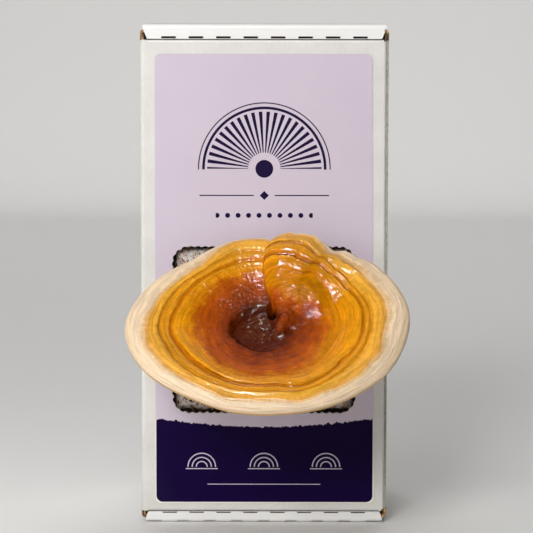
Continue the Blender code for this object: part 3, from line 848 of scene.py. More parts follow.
    # How strong the rings' relief is at these turns
    relief: Curve = (
        (0, 1.0), (35, 1.0), (50, 0.6), (100, 0.35), (150, 0.5), (180, 0.8), (200, 1.1), (228, 1.2),
        (255, 0.9), (280, 0.6), (310, 0.5), (335, 0.35), (360, 0.35))
    # The lip inside the main groove: its height by growth, and its strength by turn
    lip: Curve = (
        (0.0, 0.0), (0.58, 0.0), (0.630, 0.00070), (0.648, 0.00060), (0.677, -0.00085), (0.690, -0.00080),
        (0.76, -0.00040), (0.82, 0.0), (1.3, 0.0))
    lip_turns: Curve = (
        (0, 0.0), (140, 0.0), (175, 0.45), (205, 0.9), (225, 1.1), (245, 0.9), (268, 0.2), (290, 0.0),
        (360, 0.0))
    lobe_height: float = 0.0070
    lobe_rim_share: float = 0.65
    lobe_half_width: float = 0.0158
    lobe_reach: float = 0.0025
    lobe_angle: float = 70.0
    lobe_spread: float = 15.0
    lobe_nose: tuple[float, float] = (0.0055, 0.0195)
    lobe_lean: float = 0.0013
    # The seam's angle from the right towards the back, at these radii
    seam_course: Curve = (
        (0.0, 30.0), (0.0050, 45.0), (0.0095, 60.0), (0.0129, 69.0), (0.0152, 75.0), (0.0195, 83.0),
        (0.0255, 88.0), (0.0345, 90.2), (0.0416, 90.0), (0.0463, 88.4), (0.0503, 86.4), (0.0540, 84.4),
        (0.0600, 81.5))
    seam_hole: tuple[float, float] = (0.0038, 0.0095)
    hole_size: float = 0.0018
    # The folds that glint: the bright tongue beside the pit, which slants, and the lobe's front
    tongue_place: tuple[float, float] = (0.0085, 0.0010)
    tongue_size: tuple[float, float] = (0.0052, 0.0085)
    tongue_slant: float = 0.75
    front_place: tuple[float, float] = (0.0170, 0.0155)
    front_size: tuple[float, float] = (0.0105, 0.0085)
    # The heights of the knobs on the amber rings, and of the fine ridges on the margin
    knob_height: float = 0.00035
    ridge_height: float = 0.00020
    # The pit's radius at these angles from the right
    pit_edge: Curve = (
        (0.0, 0.0150), (60.0, 0.0120), (112.0, 0.0125), (145.0, 0.0137), (167.0, 0.0155), (192.0, 0.0174),
        (215.0, 0.0170), (242.0, 0.0170), (276.0, 0.0172), (305.0, 0.0150), (330.0, 0.0150), (360.0, 0.0150))
    pit_step: float = 0.0030
    # Folds of the middle: points along them with the height at each, half width, and stretch to the front
    folds: tuple[tuple[tuple[Place, ...], float, float], ...] = (
        (((0.0125, 0.0085, 0.0022), (0.0102, 0.0045, 0.0062), (0.0080, -0.0005, 0.0034),
          (0.0045, -0.0060, 0.0006)), 0.0040, 1.5),
        (((0.0050, -0.0090, -0.0010), (0.0058, -0.0088, -0.0010)), 0.0035, 1.0),
        (((0.0190, 0.0155, 0.0014), (0.0270, 0.0142, 0.0026)), 0.0048, 1.4),
        (((0.0085, 0.0112, -0.0010), (0.0125, 0.0102, -0.0014), (0.0170, 0.0082, -0.0012),
          (0.0220, 0.0035, -0.0004)), 0.0012, 1.0),
        (((0.0034, 0.0128, -0.0045), (0.0040, 0.0095, -0.0045)), 0.0019, 1.0),
        (((-0.0130, 0.0060, 0.0008), (-0.0070, 0.0095, 0.0010), (-0.0015, 0.0125, 0.0006)), 0.0011, 1.0),
        (((-0.0110, 0.0020, 0.0005), (-0.0050, 0.0055, 0.0009), (0.0010, 0.0085, 0.0005)), 0.0010, 1.0))

    def directions(self) -> tuple[np.ndarray, np.ndarray, np.ndarray]:
        """The cap's own directions: right, back along its plane, and out of its top."""
        c, s = math.cos(self.tilt), math.sin(self.tilt)
        return np.array((1.0, 0.0, 0.0)), np.array((0.0, c, s)), np.array((0.0, -s, c))

    def rim_radius(self, theta: np.ndarray) -> np.ndarray:
        """The rim's radius at each angle, on a smooth curve through the given radii."""
        radii = np.array(self.rim_radii)
        turn = (theta / math.tau) % 1.0 * len(radii)
        i = turn.astype(int)
        t = turn - i
        before, here, after, beyond = (radii[(i + k) % len(radii)] for k in (-1, 0, 1, 2))
        curve = 3 * (here - after) + beyond - before
        bend = 2 * before - 5 * here + 4 * after - beyond + t * curve
        radius = here + 0.5 * t * (after - before + t * bend)
        degrees = np.degrees(theta) % 360.0
        bulge = self.lobe_reach * bell((degrees - self.lobe_angle) / self.lobe_spread)
        return radius + follow(self.rim_bends, degrees) + bulge

    def seam_angle(self, radius: np.ndarray) -> np.ndarray:
        """Where the seam lies at each radius, as an angle from the right towards the back."""
        return np.radians(follow(self.seam_course, radius))

    def spread(self, grid: np.ndarray) -> Skin:
        """Turn a unit grid into rings that run along the dish, round the rim and back under to the stalk.

        Args:
            grid: the grid's points, from 0 to 1 across it and up it.

        Returns:
            The skin, flat on the cap's plane. The grid's columns crowd at the seam and follow it.
        """
        ring = np.round(grid[:, 1] * self.ring_count()).astype(int)
        column = np.round(grid[:, 0] * self.segments) / self.segments * math.tau
        turned = column - self.seam_crowding * np.sin(column)
        theta, turn = math.pi / 2 - turned, np.degrees(turned)
        top = np.concatenate((
            np.linspace(0.0, self.pit_share, self.pit_rings, endpoint=False),
            np.linspace(self.pit_share, self.margin_start, self.top_rings, endpoint=False)))
        rolled = np.radians(np.linspace(*self.rim_turn, self.rim_rings))
        under = np.linspace(self.under_start - 0.01, 0.0, self.under_rings + 1)
        rim_end = len(top) + self.rim_rings
        is_top, is_rim = ring < len(top), (ring >= len(top)) & (ring < rim_end)
        roll = rolled[np.clip(ring - len(top), 0, self.rim_rings - 1)]
        side = np.where(roll > 0, self.margin_start, self.under_start)
        boxy = self.roll_back + (1.0 - self.roll_back) * rise(-0.6, 0.6, -np.sin(theta))
        square = np.where(roll > 0, boxy, 1.0)
        rim_share = side + (1.0 - side) * np.cos(roll) ** square
        under_share = under[np.clip(ring - rim_end, 0, len(under) - 1)]
        top_share = top[np.clip(ring, 0, len(top) - 1)]
        share = np.where(is_top, top_share, np.where(is_rim, rim_share, under_share))
        rim_path = np.where(roll > 0, 1.0 - (1.0 - self.margin_start) * roll / (math.pi / 2), 1.0)
        path = np.where(is_top, share, np.where(is_rim, rim_path, 1.0))
        corner = 0.035 * bell(turn / 5.0) * rise(0.0, 0.6, turn)
        radius = share * self.rim_radius(theta) * (1.0 - corner * rise(0.6, 1.0, share))
        seam_pull = bell(np.minimum(turn, 360.0 - turn) / 35.0)
        theta = theta + (self.seam_angle(radius) - math.pi / 2) * seam_pull
        return Skin(turn, theta, radius, share, path, roll, square, is_top, is_rim)

    def ring_count(self) -> int:
        """How many rings the skin has."""
        return self.pit_rings + self.top_rings + self.rim_rings + self.under_rings

    def growth(self, skin: Skin) -> np.ndarray:
        """Turn the path into growth, on which every ring has one fixed place, and let the rings wander."""
        path = skin.path
        rings = (self.inner_groove, self.main_groove, self.outer_groove, self.cream_edge)
        places = [np.zeros_like(path), *[follow(ring, skin.turn) for ring in rings], np.ones_like(path)]
        marks = (0.0, *self.growth_marks, 1.0)
        grown = path * marks[1] / places[1]
        for low, high, mark, after in zip(places[1:], places[2:], marks[1:], marks[2:]):
            grown = np.where(path > low, mark + (path - low) * (after - mark) / (high - low), grown)
        wander = 0.007 * noise_at(skin.flat, 0.016, 3) + 0.004 * noise_at(skin.flat, 0.0045, 4)
        return np.minimum(grown + wander * rise(0.30, 0.50, path) * (1.0 - rise(0.93, 1.0, path)), 1.0)

    def lobe(self, skin: Skin) -> tuple[np.ndarray, np.ndarray]:
        """How far the lobe stands over the cap, and how far its left side leans over the seam."""
        b = skin.b
        half = self.lobe_half_width * (0.55 + 0.45 * rise(0.0, 0.040, b))
        from_seam = self.beside_seam(skin)
        across = (from_seam - half) / half
        at_rim = rise(0.030, 0.044, b)
        shoulder = half * (1.0 + 0.25 * at_rim)
        inside = (across > -1.0) & (b > 0.0)
        x = np.clip(-across, 0.0, 1.0)
        fall = rise(0.0, 1.0, (from_seam - shoulder) / (0.030 - 0.019 * at_rim))
        side = (1 - x ** 3.0) ** 0.6 * (1.0 - fall)
        rim_share = 1.0 - (1.0 - self.lobe_rim_share) * rise(0.032, 0.056, b)
        low, high = self.lobe_nose
        ramp = np.clip((b - low) / (high - low), 0.0, 1.0)
        height = self.lobe_height * side * rim_share * (0.7 * ramp + 0.3 * rise(0.0, 1.0, ramp))
        lean = self.lobe_lean * bell((across + 0.90) / 0.20) * rise(0.014, 0.026, b)
        return np.where(inside, height, 0.0), np.where(inside, lean, 0.0)

    def beside_seam(self, skin: Skin) -> np.ndarray:
        """How far to the right of the seam each point lies."""
        radius = np.hypot(skin.a, skin.b)
        return skin.a - radius * np.cos(self.seam_angle(radius))

    def terraces(self, skin: Skin, growth: np.ndarray) -> tuple[np.ndarray, np.ndarray]:
        """The rolls between the grooves, and how deep in a groove or a fine line a point is."""
        chance = noise_at(np.column_stack((skin.around * 4.0, growth * 9.0)), 1.0, 8)
        height = np.zeros_like(growth)
        hollow = np.zeros_like(growth)
        marks, on_lobe = self.growth_marks, skin.on_lobe
        for low, high, roll in zip(marks, marks[1:], self.rolls):
            t = np.clip((growth - low) / (high - low), 0.0, 1.0)
            if low == marks[0]:
                t = t ** (1.5 - 0.5 * on_lobe)
            height += roll * (1.0 + 0.5 * on_lobe) * (1.0 - np.abs(2.0 * t - 1.0) ** 3.0) ** 0.7
            dark = 0.3 if high == marks[-1] else 0.8
            hollow += dark * np.clip(0.7 + 0.9 * chance, 0.15, 1.2) * bell((growth - high) / 0.0065)
        hollow += 0.5 * np.clip(0.6 + 1.0 * chance, 0.0, 1.2) * bell((growth - marks[0]) / 0.008)
        for place, dark in self.fine_lines:
            hollow += dark * np.clip(0.5 + 1.4 * chance, 0.0, 1.3) * bell((growth - place) / 0.006)
        return height, hollow

    def fold_height(self, a: np.ndarray, b: np.ndarray) -> np.ndarray:
        """The folds of the middle, each a rounded ridge or furrow along its points."""
        height = np.zeros_like(a)
        for points, width, stretch in self.folds:
            nearest, tall = np.full_like(a, 1.0), np.zeros_like(a)
            for (a0, b0, tall0), (a1, b1, tall1) in zip(points, points[1:]):
                run_a, run_b = a1 - a0, b1 - b0
                t = np.clip(((a - a0) * run_a + (b - b0) * run_b) / (run_a ** 2 + run_b ** 2), 0.0, 1.0)
                off_a, off_b = a - a0 - t * run_a, b - b0 - t * run_b
                away = np.hypot(off_a, np.where(off_b < 0.0, off_b / stretch, off_b))
                tall = np.where(away < nearest, tall0 + t * (tall1 - tall0), tall)
                nearest = np.minimum(nearest, away)
            height += tall * bell(nearest / width)
        return height

    def in_pit(self, skin: Skin, low: float, high: float, wander: np.ndarray) -> np.ndarray:
        """1 inside the pit's edge and 0 outside it.

        Args:
            skin: the skin.
            low: how far from the edge it starts to fall.
            high: where it ends.
            wander: what is added to the distance, so that the edge isn't even.

        Returns:
            One value for each point.
        """
        edge = follow(self.pit_edge, np.degrees(skin.theta) % 360.0)
        return 1.0 - rise(low, high, skin.radius - edge + wander)

    def age(self, skin: Skin, tongue: np.ndarray) -> np.ndarray:
        """How old the skin looks: under 1 in the brown middle, lowered in the pit and most towards its left
        side, which darkens it there, and more on the tongue.
        """
        age = skin.share / follow(self.brown_edge, skin.turn) + 0.10 * noise_at(skin.flat, 0.010, 9, 3)
        dark_pit = self.in_pit(skin, -0.0030, 0.0018, 0.0012 * noise_at(skin.flat, 0.005, 13))
        darker = 0.24 * dark_pit * rise(-0.012, 0.002, -skin.a) * (1.0 - 0.8 * tongue)
        return age - darker + 0.42 * tongue

    def seam(self, skin: Skin) -> tuple[np.ndarray, np.ndarray]:
        """How deep in the seam a point is, from 0 to 1, and how wide the seam is open there."""
        is_open = 1.0 - rise(0.011, 0.019, skin.radius)
        seam = bell(self.beside_seam(skin) / (0.0005 + 0.0009 * is_open)) * rise(0.004, 0.012, skin.b)
        return seam, is_open

    def texture(self, skin: Skin, lift: np.ndarray, growth: np.ndarray, age: np.ndarray) -> np.ndarray:
        """The height of ripples, strongest on the wrinkled middle, and of knobs on the amber rings."""
        lifted = skin.flat + lift[:, None]
        wrinkled = 1.0 - rise(0.75, 1.25, age)
        crumple = 1.0 - 2.0 * np.abs(noise_at(lifted, 0.0024, 5, 2))
        fine = noise_at(lifted, 0.0012, 6, 1)
        ripples = (0.00004 + 0.00012 * wrinkled) * crumple + (0.00002 + 0.00003 * wrinkled) * fine
        knobs = np.clip(noise_at(skin.flat, 0.0022, 11, 1), 0.0, 1.0)
        return ripples + self.knob_height * knobs * rise(0.40, 0.60, growth) * (1 - rise(0.8, 0.9, growth))

    def dish(self, skin: Skin) -> np.ndarray:
        """The dish's height, with the pit and the folds of its middle."""
        bowl = np.minimum(skin.share / self.margin_start, 1.0) ** self.dish_power
        in_pit = self.in_pit(skin, -0.0024, 0.0022, 0.0006 * noise_at(skin.flat, 0.004, 10))
        pit_side = 0.25 + 0.75 * rise(-0.010, 0.004, -skin.a)
        sunk = self.pit_step * in_pit * pit_side
        bowl = (self.dish_depth + self.margin_rise) * bowl - self.dish_depth
        return bowl - sunk + self.fold_height(skin.a, skin.b)

    def rim_and_under(self, skin: Skin, lift: np.ndarray, seam_depth: np.ndarray) -> np.ndarray:
        """The height of the rim's round, and of the underside, which slopes down to the stalk."""
        low = 2 * self.rim_level - self.rim_bottom
        tall = np.where(skin.roll > 0, self.margin_rise, low) - self.rim_level
        rolled_up = np.sign(skin.roll) * np.abs(np.sin(skin.roll)) ** skin.square
        rim = self.rim_level + tall * rolled_up + lift - seam_depth * (skin.roll > 0)
        inward = rise(0.0, 1.0, (self.under_start - skin.share) / (self.under_start - self.pad_share))
        under = self.rim_bottom + (self.pad_level - self.rim_bottom) * inward
        return np.where(skin.is_rim, rim, under + lift * rise(0.4, 0.9, skin.share))

    def mark(self, mesh: Mesh, skin: Skin, bright: np.ndarray, marks: dict[str, np.ndarray]) -> None:
        """Keep on the mesh what the finish is drawn by.

        Args:
            mesh: the cap's mesh.
            skin: the skin.
            bright: 1 on the folds that glint, beside the pit and on the lobe's front.
            marks: growth, age, hollow and relief, one value for each point.
        """
        growth, aged = marks["growth"], 1.0 - rise(0.9, 1.4, marks["age"])
        crest = 0.55 * bell((growth - 0.655) / 0.018) + 0.45 * bell((growth - 0.80) / 0.03) * skin.on_lobe
        wrinkle = 0.16 * aged + 0.95 * bright + crest * marks["relief"]
        for name, values in marks.items():
            add_attribute(mesh, name, values)
        add_attribute(mesh, "wrinkle", np.clip(wrinkle, 0.05, 1.0))
        add_attribute(mesh, "streak", np.column_stack((skin.around * 42.0, growth * 7.0)))
        add_attribute(mesh, "rings", np.column_stack((skin.around * 1.5, growth * 30.0)))

    def hollow(self, skin: Skin, growth: np.ndarray, relief: np.ndarray, grooves: np.ndarray,
               lift: np.ndarray) -> np.ndarray:
        """How dark a point is painted: painted shade for its depth in a groove, in the seam and its hole, and
        a darker tone in the fine lines and on the lobe.
        """
        seam, is_open = self.seam(skin)
        hollow = grooves * (0.5 + 0.5 * np.clip(relief, 0.0, 1.1)) * (1.0 - rise(0.86, 0.90, growth))
        hollow += 1.6 * seam * rise(0.3, 1.0, is_open) * (growth < 0.86)
        hollow += 0.7 * seam * (growth < 0.95)
        hollow += 0.30 * np.clip(lift / self.lobe_height, 0.0, 1.0) * (1.0 - rise(0.80, 0.86, growth))
        from_hole = np.hypot(skin.a - self.seam_hole[0], skin.b - self.seam_hole[1])
        return hollow + 2.0 * bell(from_hole / self.hole_size)

    def build(self) -> Mesh:
        """Spread the skin from a grid, raise its top, rim and underside, mark it and close its seams."""
        bm = bmesh.new()
        bmesh.ops.create_grid(bm, x_segments=self.segments, y_segments=self.ring_count(), size=0.5)
        mesh = mesh_of("cap_skin", bm)
        skin = self.spread(vertex_places(mesh) + 0.5)
        lift, lean = self.lobe(skin)
        growth = self.growth(skin)
        terrace, grooves = self.terraces(skin, growth)
        tongue = spot(skin.a - self.tongue_slant * skin.b, skin.b, self.tongue_place, self.tongue_size)
        age = self.age(skin, tongue)
        seam, is_open = self.seam(skin)
        seam_depth = (0.0012 + 0.0030 * is_open) * seam
        lip = follow(self.lip, growth) * follow(self.lip_turns, skin.turn)
        top = self.dish(skin) + terrace + lift + lip - seam_depth + self.texture(skin, lift, growth, age)
        height = np.where(skin.is_top, top, self.rim_and_under(skin, lift, seam_depth))
        ridged = 1.0 - np.abs(noise_at(np.column_stack((skin.around * 5.0, skin.path * 55.0)), 1.0, 7, 2))
        height += self.ridge_height * rise(0.84, 0.90, growth) * (ridged - 0.8) * skin.outside
        right, back, out = self.directions()
        a = skin.a - lean
        places = np.array(self.centre) + a[:, None] * right + skin.b[:, None] * back + height[:, None] * out
        set_places(mesh, places)
        front = spot(a, skin.b, self.front_place, self.front_size)
        past_rim = np.where(
            skin.is_rim, -skin.roll * (skin.roll < 0) * 0.07, 0.10 + 0.15 * (self.under_start - skin.share))
        growth = np.where(skin.is_top | (skin.is_rim & (skin.roll > 0)), growth, 1.0 + past_rim)
        relief = follow(self.relief, skin.turn) * (1.0 + 0.4 * noise_at(skin.flat, 0.028, 12))
        self.mark(mesh, skin, front + tongue, {
            "growth": growth, "age": np.where(skin.outside, age, 2.0), "relief": relief,
            "hollow": self.hollow(skin, growth, relief, grooves, lift)})
        bm = bmesh.new()
        bm.from_mesh(mesh)
        bmesh.ops.remove_doubles(bm, verts=bm.verts, dist=1e-7)
        bmesh.ops.recalc_face_normals(bm, faces=bm.faces)
        bm.to_mesh(mesh)
        bm.free()
        return mesh

    def dress(self) -> Piece:
        """Make the cap's piece."""
        finish = CapSkin("reishi_cap_lacquer", ior=1.45, mirror=0.3, subsurface=0.02)
        return add_piece("cap_skin", self.build(), [finish], ["cap"])


@dataclass
class Stalk:
    """The stalk: out of the block, then bending up to the middle of the cap's underside."""

    root: Place = (0.0, -0.0445, 0.0915)
    cap: Cap = field(default_factory=Cap)
    radii: tuple[float, ...] = (
        0.0165, 0.0142, 0.0120, 0.0112, 0.0117, 0.0113, 0.0110, 0.0114, 0.0120, 0.0126)
    pull: float = 0.45
    segments: int = 96
    rings: int = 120
    overlap: float = 0.0012

    def build(self) -> Mesh:
        """Bend a closed cylinder along the stalk's curve and swell it in knobbly rings."""
        bm = bmesh.new()
        bmesh.ops.create_cone(
            bm, cap_ends=True, cap_tris=True, segments=self.segments, radius1=1.0, radius2=1.0, depth=1.0)
        long_edges = [edge for edge in bm.edges if abs(edge.verts[0].co.z - edge.verts[1].co.z) > 0.5]
        bmesh.ops.subdivide_edges(bm, edges=long_edges, cuts=self.rings)
        bmesh.ops.recalc_face_normals(bm, faces=bm.faces)
        mesh = mesh_of("stalk_skin", bm)
        tube = vertex_places(mesh)
        right, _, out = self.cap.directions()
        root = np.array(self.root) + np.array((0.0, self.overlap, 0.0))
        end = np.array(self.cap.centre) + (self.cap.pad_level + self.overlap) * out
        reach = self.pull * np.linalg.norm(end - root)
        handles = (root, root + np.array((0.0, -reach, 0.0)), end - reach * out, end)
        t = np.clip(tube[:, 2] + 0.5, 0.0, 1.0)
        s = 1.0 - t
        weights = (s ** 3, 3 * s * s * t, 3 * s * t * t, t ** 3)
        middle = sum(w[:, None] * h for w, h in zip(weights, handles))
        slope = sum(
            w[:, None] * (after - before)
            for w, before, after in zip((s * s, 2 * s * t, t * t), handles, handles[1:]))
        slope /= np.linalg.norm(slope, axis=1)[:, None]
        side = np.cross(slope, right)
        side /= np.linalg.norm(side, axis=1)[:, None]
        turn = np.arctan2(tube[:, 1], tube[:, 0])
        spread = np.hypot(tube[:, 0], tube[:, 1])
        radius = np.interp(t, np.linspace(0.0, 1.0, len(self.radii)), self.radii)
        around = np.stack((np.cos(turn) * 2.0, np.sin(turn) * 2.0, t * 5.0), axis=1)
        radius += 0.0011 * noise_at(around, 1.4, 21) * rise(0.0, 0.1, t) * rise(0.0, 0.06, s)
        rings = np.abs(np.sin(t * 34.0 + 1.5 * noise_at(around, 2.0, 22)))
        radius += 0.00045 * rings * rise(0.0, 0.15, t) * rise(0.0, 0.1, s)
        ring_place = np.cos(turn)[:, None] * right + np.sin(turn)[:, None] * side
        set_places(mesh, middle + (radius * spread)[:, None] * ring_place)
        add_attribute(mesh, "along", t)
        return mesh

    def dress(self) -> Piece:
        """Make the stalk's piece."""
        finish = StalkSkin("reishi_stalk_lacquer", roughness=0.22, ior=1.5, coat=0.4)
        return add_piece("stalk_skin", self.build(), [finish], ["stem"])


@dataclass
class Window:
    """The window torn out of the lid: round-cornered, with the torn ties of its perforation on its edge."""

    width: float = 0.0964
    height: float = 0.0884
    centre_z: float = 0.1032
    corner: float = 0.0085
    tie_pitch: float = 0.00383
    tie_reach: float = 0.0007
    tie_half: float = 0.24
    steps: int = 10
    seed: int = 11

    def outline(self, grow: float = 0.0) -> Outline:
        """The opening's edge.

        Args:
            grow: how far the edge is moved outwards.

        Returns:
            Places across and up.
        """
        chance = random.Random(self.seed)
        straights = (self.width - 2 * self.corner, self.height - 2 * self.corner)
        arc = self.corner * math.pi / 2
        total = 2 * sum(straights) + 4 * arc
        ties = round(total / self.tie_pitch)
        reaches = [self.tie_reach * chance.uniform(0.55, 1.15) for _ in range(ties)]
        points = []
        for i in range(ties * self.steps):
            at = (i + 0.5) * total / (ties * self.steps)
            side = 0
            while at > straights[side % 2] + arc:
                at -= straights[side % 2] + arc
                side += 1
            run = straights[side % 2]
            along, turn = min(at, run) - run / 2, max(at - run, 0.0) / self.corner
            phase = (i % self.steps + 0.5) / self.steps - 0.5
            torn = reaches[i // self.steps] * math.exp(-((phase / self.tie_half) ** 4))
            reach = self.corner + grow - torn + self.tie_reach * 0.4
            along += reach * math.sin(turn)
            out = straights[(side + 1) % 2] / 2 + reach * math.cos(turn)
            c, s = math.cos(side * math.pi / 2), math.sin(side * math.pi / 2)
            points.append((along * c + out * s, along * s - out * c + self.centre_z))
        return points


class Board:
    """Sheets of board in one bmesh, as their outer faces, before they get their thickness."""

    def __init__(self) -> None:
        """Start with no sheet."""
        self.bm = bmesh.new()

    def panel(self, outline: Sequence[Sequence[float]], out: Sequence[float],
              holes: Sequence[Sequence[Sequence[float]]] = ()) -> None:
        """Fill a flat panel.

        Args:
            outline: the places of its corners, in order.
            out: the direction that its outer face looks in.
            holes: the outlines of the openings in it.
        """
        edges = []
        for loop in (outline, *holes):
            verts = [self.bm.verts.new(place) for place in loop]
            edges += [self.bm.edges.new(pair) for pair in zip(verts, verts[1:] + verts[:1])]
        made = bmesh.ops.triangle_fill(self.bm, use_beauty=True, use_dissolve=False, edges=edges)
        for item in made["geom"]:
            if isinstance(item, bmesh.types.BMFace):
                item.normal_update()
                if item.normal.dot(Vector(out)) < 0.0:
                    item.normal_flip()

    def crease(self, start: Sequence[float], end: Sequence[float], pivot: Sequence[float],
               angle: float, steps: int = 5) -> None:
        """Turn a panel's edge round a pivot line that is parallel to it.

        Args:
            start: one end of the edge.
            end: its other end.
            pivot: a place on the pivot line.
            angle: how far it turns, in degrees, about the direction from start to end.
            steps: the number of flat strips.
        """
        ends = [self.bm.verts.new(start), self.bm.verts.new(end)]
        edge = self.bm.edges.new(ends)
        known = set(self.bm.faces)
        axis = (Vector(end) - Vector(start)).normalized()
        bmesh.ops.spin(
            self.bm, geom=[*ends, edge], cent=pivot, axis=axis, dvec=(0.0, 0.0, 0.0),
            angle=math.radians(angle), steps=steps, use_merge=False, use_duplicate=False)
        for face in set(self.bm.faces) - known:
            face.normal_update()
            away = face.calc_center_median() - Vector(pivot)
            if face.normal.dot(away - away.dot(axis) * axis) < 0.0:
                face.normal_flip()

    def finish(self, name: str) -> Mesh:
        """Join the sheets where they meet, and turn them into a mesh."""
        bmesh.ops.remove_doubles(self.bm, verts=self.bm.verts, dist=1e-6)
        return mesh_of(name, self.bm, smooth=False)


@dataclass
class Carton:
    """The folded mailer: one blank of board, with rolled end walls and a lid that is the front."""

    width: float = 0.130
    depth: float = 0.100
    height: float = 0.264
    board: float = 0.0020
    gap: float = 0.0006
    fold: float = 0.0022
    # The edge strips: how deep they are, how far their outer and inner edges reach, and their slots
    top_strip: float = 0.0077
    bottom_strip: float = 0.0058
    top_reach: tuple[float, float] = (0.0636, 0.0613)
    bottom_reach: tuple[float, float] = (0.0629, 0.0615)
    top_slots: tuple[float, float] = (0.0069, 0.0011)
    bottom_slots: tuple[float, float] = (0.0054, 0.0006)
    lid_bottom: float = 0.0063
    lid_top: float = 0.2558
    lid_gap: float = -0.0007
    wall_step: float = 0.0012
    lid_fold: float = 0.0013
    corner_flap: float = 0.050
    dust_flap: float = 0.030
    tuck_flap: float = 0.030
    tuck_inset: float = 0.0009
    # How the flaps narrow: a corner flap's back, front and nose, a dust flap, and a tuck flap's neck and tip
    corner_taper: Place = (0.004, 0.002, 0.0014)
    dust_taper: float = 0.003
    tuck_taper: Place = (0.006, 0.0015, 0.010)
    slot_pitch: float = 0.0143
    slot_length: float = 0.0077
    slots: int = 8
    tab_rise: float = 0.00045
    tab_slope: float = 0.0005
    window: Window = field(default_factory=Window)

    def walls(self, board: Board) -> None:
        """The back, the two side walls and the creases between them."""
        half, front, back, top = self.width / 2, -self.depth / 2, self.depth / 2, self.height
        fold, low = self.fold, self.board + self.gap + self.fold
        high = top - low
        inner = half - fold
        board.panel(
            [(x, back, z) for x, z in (
                (-inner, fold), (inner, fold), (inner, low), (inner, high), (inner, top - fold),
                (-inner, top - fold), (-inner, high), (-inner, low))], (0, 1, 0))
        bend = back - fold
        for side in (-1, 1):
            x = side * half
            board.crease((x, bend, low), (x, bend, high), (side * inner, bend, 0.0), 90 * side)
            near = front if side < 0 else front + self.wall_step
            face = [(x, bend, low), (x, bend, high), (x, near, high)]
            if side < 0:
                lid_hinge = [(x, front + fold, self.lid_bottom), (x, front + fold, self.lid_top)]
                face += [(x, front, self.lid_top), *reversed(lid_hinge), (x, front, self.lid_bottom)]
                board.crease(*lid_hinge, (side * inner, front + fold, 0.0), 90)
            board.panel([*face, (x, near, low)], (side, 0, 0))
            for end, z in ((-1, low), (1, high)):
                self.corner_flap_of(board, side, end, z)

    def corner_flap_of(self, board: Board, side: int, end: int, z: float) -> None:
        """A side wall's flap, folded in under an end wall.

        Args:
            board: the sheets so far.
            side: 1 for the right wall and -1 for the left.
            end: 1 for the top and -1 for the bottom.
            z: the height of the side wall's end.
        """
        half, inner, outer = self.width / 2, self.width / 2 - self.fold, z + end * self.fold
        front, back = -self.depth / 2, self.depth / 2 - self.fold - self.gap
        nose, tip = front + self.board + self.gap / 2, side * (half - self.corner_flap)
        x, bend = side * half, side * inner
        board.crease((x, front, z), (x, back, z), (bend, 0.0, z), -90 * side * end)
        taper_back, taper_front, nip = self.corner_taper
        edge = (
            (bend, front), (bend, back), (tip, back - taper_back), (tip, nose + taper_front),
            (side * (inner - nip), nose))
        board.panel([(x, y, outer) for x, y in edge], (0, 0, end))

    def end_wall(self, board: Board, end: int) -> None:
        """One rolled end: outer layer, notched crease, slotted strip, and inner layer.

        Args:
            board: the sheets so far.
            end: 1 for the top and -1 for the bottom.
        """
        half, front, back = self.width / 2, -self.depth / 2, self.depth / 2
        outer = self.height if end > 0 else 0.0
        fold, inner = self.fold, half - self.fold
        bend = outer - end * fold
        wide, narrow = self.top_reach if end > 0 else self.bottom_reach
        board.crease((-inner, back, bend), (inner, back, bend), (0.0, back - fold, bend), 90 * end)
        tabs = [(i - (self.slots - 1) / 2) * self.slot_pitch for i in range(self.slots)]
        reach = self.slot_length / 2
        turns = (-reach - self.tab_slope, -reach, reach, reach + self.tab_slope)
        places = (-wide, *[tab + turn for tab in tabs for turn in turns], wide) if end < 0 else (-wide, wide)
        front_edge = [(x, front + fold, outer) for x in places]
        board.panel(
            [(-inner, back - fold, outer), (inner, back - fold, outer), *reversed(front_edge)], (0, 0, end))
        for start, stop in zip(front_edge, front_edge[1:]):
            board.crease(start, stop, (0.0, front + fold, bend), 90 * end)
        top_edge = [(x, front, bend) for x in places]
        low = outer - end * (self.top_strip if end > 0 else self.bottom_strip)
        inset, tall = self.top_slots if end > 0 else self.bottom_slots
        nip, slot = tall / 4, outer - end * inset
        lower = ((-reach, -nip), (-reach + nip, -tall / 2), (reach - nip, -tall / 2), (reach, -nip))
        corners = (*lower, *[(-dx, -dz) for dx, dz in lower])
        holes = [[(tab + dx, front, slot + dz) for dx, dz in corners] for tab in tabs]
        board.panel([*top_edge, (narrow, front, low), (-narrow, front, low)], (0, -1, 0), holes)
        inside = back - self.board - self.gap
        board.panel(
            [(-narrow, front, low), (narrow, front, low), (narrow, inside, low), (-narrow, inside, low)],
            (0, 0, -end))
        if end < 0:
            self.lift_between_tabs(board, tabs)

    def lift_between_tabs(self, board: Board, tabs: Sequence[float]) -> None:
        """Raise the bottom's front crease between the tabs, which alone reach the table.

        Args:
            board: the sheets so far.
            tabs: the tabs' middles.
        """
        near = -self.depth / 2 + self.fold + 0.0001
        for vert in board.bm.verts:
            if vert.co.y < near and vert.co.z < self.fold - 1e-6:
                away = min(abs(vert.co.x - tab) for tab in tabs) - self.slot_length / 2
                if away > self.tab_slope / 2:
                    vert.co.z += self.tab_rise * (1.0 - vert.co.z / self.fold)

